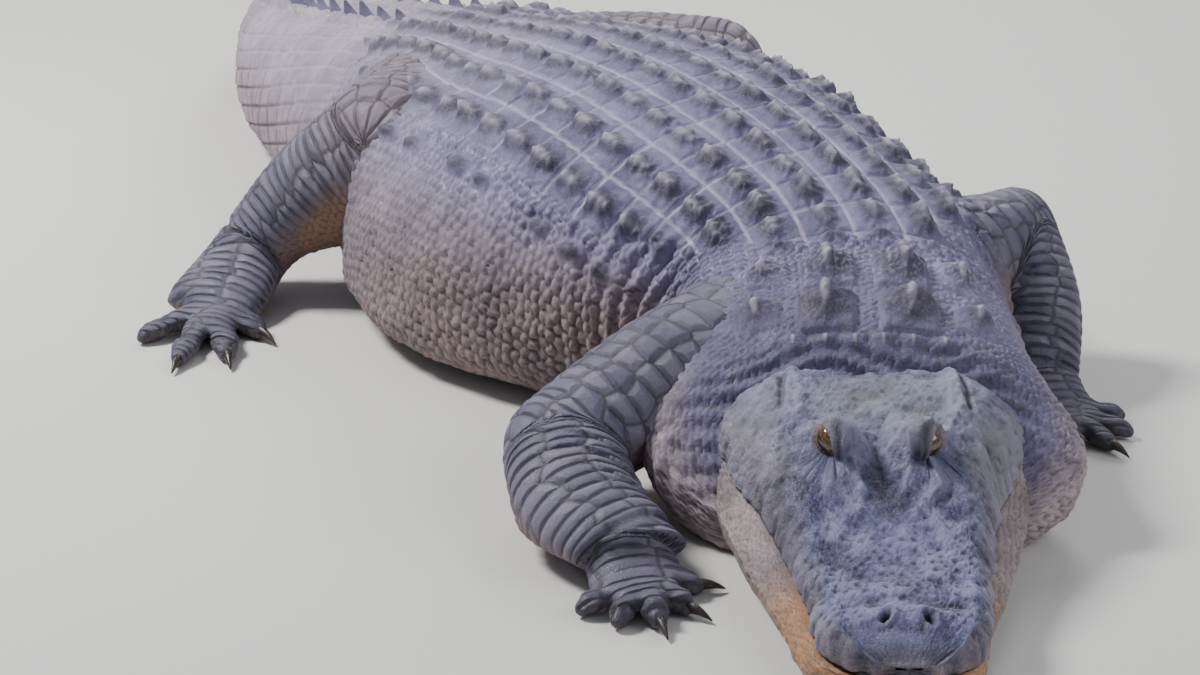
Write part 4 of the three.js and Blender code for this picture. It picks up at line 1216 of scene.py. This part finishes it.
def leg_piece(name, limb, voxel, wide):
    """The skin of one leg. Large plates on the outer side of the upper leg, narrow bands across the lower leg
    and the foot, small round scales elsewhere; the material draws the grooves between the plates."""
    ball = limb["palm"][-1]
    toes = [toe_path(ball, toe) for toe in limb["toes"]]
    parts = [swept(limb["upper"], 16, 40), swept(limb["lower"], 16, 40), swept(limb["palm"], 8, 36)]
    parts += [swept(path, 14, 20) for path in toes]
    webs = []
    for one, two in zip(toes[:-1], toes[1:]):
        a, b = np.array(one), np.array(two)
        for f in (0.25, 0.5, 0.75):
            row = (a * (1 - f) + b * f)[[0, 2, 4]].copy()
            short = 0.62 if "hind" in name else 0.5
            row[1:, :2] = row[0, :2] + (row[1:, :2] - row[0, :2]) * short
            row[:, 2] = (7.5, 8.0, 6.0)
            row[:, 4] = (6.0, 5.0, 3.2)
            row[:, 3] = (12, 12, 8)
            webs.append(swept([tuple(x) for x in row], 6, 14))
    verts, faces = joined(parts + webs)
    v, quads = run_together(verts, faces, voxel)
    s, angle, radius, beside, way = along_paths(v, [limb["upper"], limb["lower"], limb["palm"]])
    reach = np.linalg.norm(v[:, :2] - np.array(ball[:2]), axis=1)
    toe_part = (1 - smooth(v[:, 2], 18, 34)) * (1 - smooth(reach, 230, 260)) * smooth(reach, 25, 50)
    foot = smooth(s, way - 75, way - 35) * (1 - smooth(v[:, 2], 40, 70))
    v = smoothed(v, quads, 5, np.full(len(v), 0.5))
    v = smoothed(v, quads, 90, 0.6 * (1 - np.clip(toe_part, 0, 1)))
    even = np.full(len(v), 0.6)
    s, angle = smoothed(np.stack([s, angle, 0 * s], 1), quads, 7, even)[:, :2].T
    radius, beside = smoothed(np.stack([radius, beside, 0 * s], 1), quads, 20, even)[:, :2].T
    n = point_normals(v, quads)
    flat = np.clip(np.maximum(foot, toe_part), 0, 1)
    arc = angle * radius * (1 - flat) + beside * flat
    upper_side = smooth(np.cos(angle), -0.45, 0.15) * (1 - flat) + smooth(n[:, 2], -0.1, 0.4) * flat
    joint = np.linalg.norm(np.diff(np.array(limb["upper"])[:, :3], axis=0), axis=1).sum()
    ankle = joint + np.linalg.norm(np.diff(np.array(limb["lower"])[:, :3], axis=0), axis=1).sum()
    slow = s + 6 * rolling(arc, s, 70, 7)
    plate_v = np.minimum(slow, joint - 25) / 25 + np.maximum(slow - joint + 25, 0) / 13.5
    plate_u = arc / (wide * (1 + 0.6 * smooth(s, joint - 50, joint + 10))) + 0.2 * rolling(s, arc, 40, 2)
    d2, e2, n2 = cells(arc, s, 11.0, 10.0, 0.5, seed=12)
    band = np.abs(np.sin(np.pi * (plate_v - 0.675))) ** 0.6
    big = 2.3 * band + 0.9
    fine = (1.6 * smooth(e2, 0.02, 0.34) + 0.5 * np.clip(1 - 1.7 * d2, 0, 1)) * (0.7 + 0.5 * n2)
    legs = 1 - flat
    hind = 1.0 if "hind" in name else 0.0
    crease = np.exp(-(((s - ankle + 4) / 7) ** 2)) * upper_side * (0.45 + 0.55 * hind)
    skin = (big * upper_side + fine * (1 - upper_side)) * legs
    skin = skin + (1.3 * band * upper_side + 0.9 * smooth(e2, 0, 0.3) * (1 - upper_side)) * flat - 5 * crease
    away = body_distance(v)
    blend = 70 / 4 * np.clip(1 - np.abs(away) / 70, 0, 1) ** 2
    v = v + n * (skin - 3.0 * legs - 0.8 * (1 - legs) + blend * legs)[:, None]
    v[:, 2] = np.maximum(v[:, 2], 0)
    tip = np.zeros(len(v))
    for path in toes:
        q = np.array(path)[:, :3]
        line = q[-1] - q[0]
        f = np.clip(((v - q[0]) @ line) / (line @ line), 0, 1.1)
        near = np.linalg.norm(v[:, :2] - (q[0] + f[:, None] * line)[:, :2], axis=1)
        tip = np.maximum(tip, (near < path[1][3] * 1.1) * f)
    # dark: the seams of the small scales on the under side and the ankle crease, for the material's painted
    # shade
    dark = np.maximum((1 - smooth(e2, 0.0, 0.2)) * (1 - upper_side), crease)
    tan = 0.55 * hind * (1 - smooth(s, joint - 60, joint + 120)) * upper_side
    return make_mesh(name, v, quads, {"dark": dark, "upper": upper_side, "toe": tip, "foot": flat, "tan": tan,
                     "plate_u": plate_u, "plate_v": plate_v})


def limb_hide():
    """Blue-black bands with grooves and an ankle crease darkened as painted shade, tan inside the leg, dark
    toe tips.
    """
    m, tree, shader, blotch = blotched_material("limb_hide")
    dark, upper, foot, toe = (attribute(tree, key) for key in ("dark", "upper", "foot", "toe"))
    ends = {"X": attribute(tree, "plate_u"), "Y": attribute(tree, "plate_v")}
    plates = {"Vector": add(tree, "ShaderNodeCombineXYZ", ends).outputs[0]}
    flat = {"voronoi_dimensions": "2D", "Scale": 1.0, "Randomness": 0.35}
    edges = add(tree, "ShaderNodeTexVoronoi", plates, feature="DISTANCE_TO_EDGE", **flat)
    names = add(tree, "ShaderNodeTexVoronoi", plates, **flat)
    each = add(tree, "ShaderNodeSeparateColor", {"Color": names.outputs["Color"]}).outputs[0]
    tone = blend(tree, blotch["Slow"], (0.25, 0.25, 0.33), (0.36, 0.35, 0.44))
    tone = blend(tree, times(tree, each, 0.5), tone, (0.53, 0.50, 0.56))
    tone = blend(tree, attribute(tree, "tan"), tone, (0.52, 0.45, 0.48))
    inner = blend(tree, blotch["Slow"], (0.56, 0.43, 0.34), (0.50, 0.41, 0.38))
    # painted shade: the grooves between the plates are painted nearly black
    groove = inverse(tree, step_node(tree, edges.outputs["Distance"], 0.0, 0.10))
    groove = times(tree, groove, upper)
    base = blend(tree, upper, inner, tone)
    base = blend(tree, times(tree, foot, 0.6), base,
                 blend(tree, blotch["Slow"], (0.27, 0.26, 0.34), (0.38, 0.36, 0.44)))
    base = over(tree, base, toe, 0.5, (0.17, 0.17, 0.24))
    base = over(tree, base, groove, 0.85, (0.10, 0.09, 0.12))
    # painted shade in the seams of the small scales and in the ankle crease
    base = over(tree, base, dark, 0.75, (0.14, 0.11, 0.13))
    base = over(tree, base, blotch["Quick"], 0.25, (0.47, 0.44, 0.49))
    finish_hide(tree, shader, base, 0.4, 0.65, blotch["Quick"], 0.6)
    fine = shader.inputs["Normal"].links[0].from_socket
    domes = times(tree, step_node(tree, edges.outputs["Distance"], 0.0, 0.28), upper)
    relief = add(tree, "ShaderNodeBump", {"Height": domes, "Normal": fine}, Distance=0.003, Strength=1.0)
    tree.links.new(relief.outputs[0], shader.inputs["Normal"])
    return m


LIMB_HIDE = limb_hide()
for key in LIMBS:
    voxel, wide = (2.5, 34) if key.startswith("fore") else (3.0, 38)
    o = leg_piece("skin_leg_" + key, LIMBS[key], voxel, wide)
    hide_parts("upper_leg_" + key, "lower_leg_" + key, "foot_" + key)
    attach(o, "root")
    o.data.materials.append(LIMB_HIDE)


# Claws
# Blunt dark horn on the first three toes of each foot. Each is a curved cone out of the toe's end, and all
# twelve are one mesh.


def claw_horn():
    """Dark horn, a little worn."""
    m, tree, shader, blotch = blotched_material("horn")
    base = blend(tree, blotch["Quick"], (0.13, 0.11, 0.11), (0.26, 0.22, 0.20))
    finish_hide(tree, shader, base, 0.25, 0.5, blotch["Speckle"], 0.25)
    return m


parts, names = [], []
for key, limb in LIMBS.items():
    for i, toe in enumerate(limb["toes"]):
        if toe[3] == 0:
            continue
        path = np.array(toe_path(limb["palm"][-1], toe))
        d = path[-1, :3] - path[-2, :3]
        d[2] = 0
        d = d / np.linalg.norm(d)
        r = toe[2]
        f = np.linspace(0, 1, 14)[:, None]
        t = np.linspace(0, 2 * np.pi, 16, endpoint=False)[None]
        size = r * (0.5 * (1 - f**1.6) + 0.07)
        z = np.maximum(path[-1, 2] - f**2 * r * 0.45 + 2.0 * np.sin(f * np.pi), size + 0.3)
        way = -3 + f * (r * 2.5 + 3)
        side = np.array([d[1], -d[0]])
        x = path[-1, 0] + d[0] * way + side[0] * np.cos(t) * size * 0.82
        y = path[-1, 1] + d[1] * way + side[1] * np.cos(t) * size * 0.82
        parts.append(np.stack([x, y, z + np.sin(t) * size], -1))
        names.append(f"claw_{key}_{i + 1}")
verts, faces = joined(parts)
claws = make_mesh("claws_horn", verts, faces)
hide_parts(*names)
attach(claws, "root")
claws.data.materials.append(claw_horn())


# Floor and light
# A pale floor and three soft lamps, like a photo studio with daylight.
FLOOR_HALF = 9000
FLOOR_TOP = -1
corners = [(x * FLOOR_HALF, y * FLOOR_HALF, FLOOR_TOP) for x, y in ((-1, -1), (1, -1), (1, 1), (-1, 1))]
floor = make_mesh("floor", corners, [[0, 1, 2, 3]])
floor_mat = bpy.data.materials.new("floor_pale")
floor_mat.use_nodes = True
shader = floor_mat.node_tree.nodes["Principled BSDF"]
shader.inputs["Base Color"].default_value = colour(0.80, 0.79, 0.77)
shader.inputs["Roughness"].default_value = 0.7
floor.data.materials.append(floor_mat)
for name, place_at, aim, size, power in (
        ("key", (-1.9, 1.6, 3.2), (0, 0.1, 0.1), 1.0, 250), ("fill", (2.2, -3.0, 2.6), (0, 0, 0.1), 2.6, 70),
        ("back", (2.4, 2.6, 2.6), (0, 0.3, 0.2), 1.6, 80)):
    data = bpy.data.lights.new(name, "AREA")
    data.size = size
    data.energy = power
    lamp = bpy.data.objects.new(name, data)
    scene.collection.objects.link(lamp)
    lamp.location = place_at
    d = np.array(aim) - np.array(place_at)
    yaw = math.atan2(d[0], -d[1])
    lamp.rotation_euler = (math.acos(-d[2] / np.linalg.norm(d)), 0, yaw + math.pi)
world = bpy.data.worlds.new("world")
world.use_nodes = True
world.node_tree.nodes["Background"].inputs["Color"].default_value = colour(0.80, 0.84, 0.90)
world.node_tree.nodes["Background"].inputs["Strength"].default_value = 0.42
scene.world = world
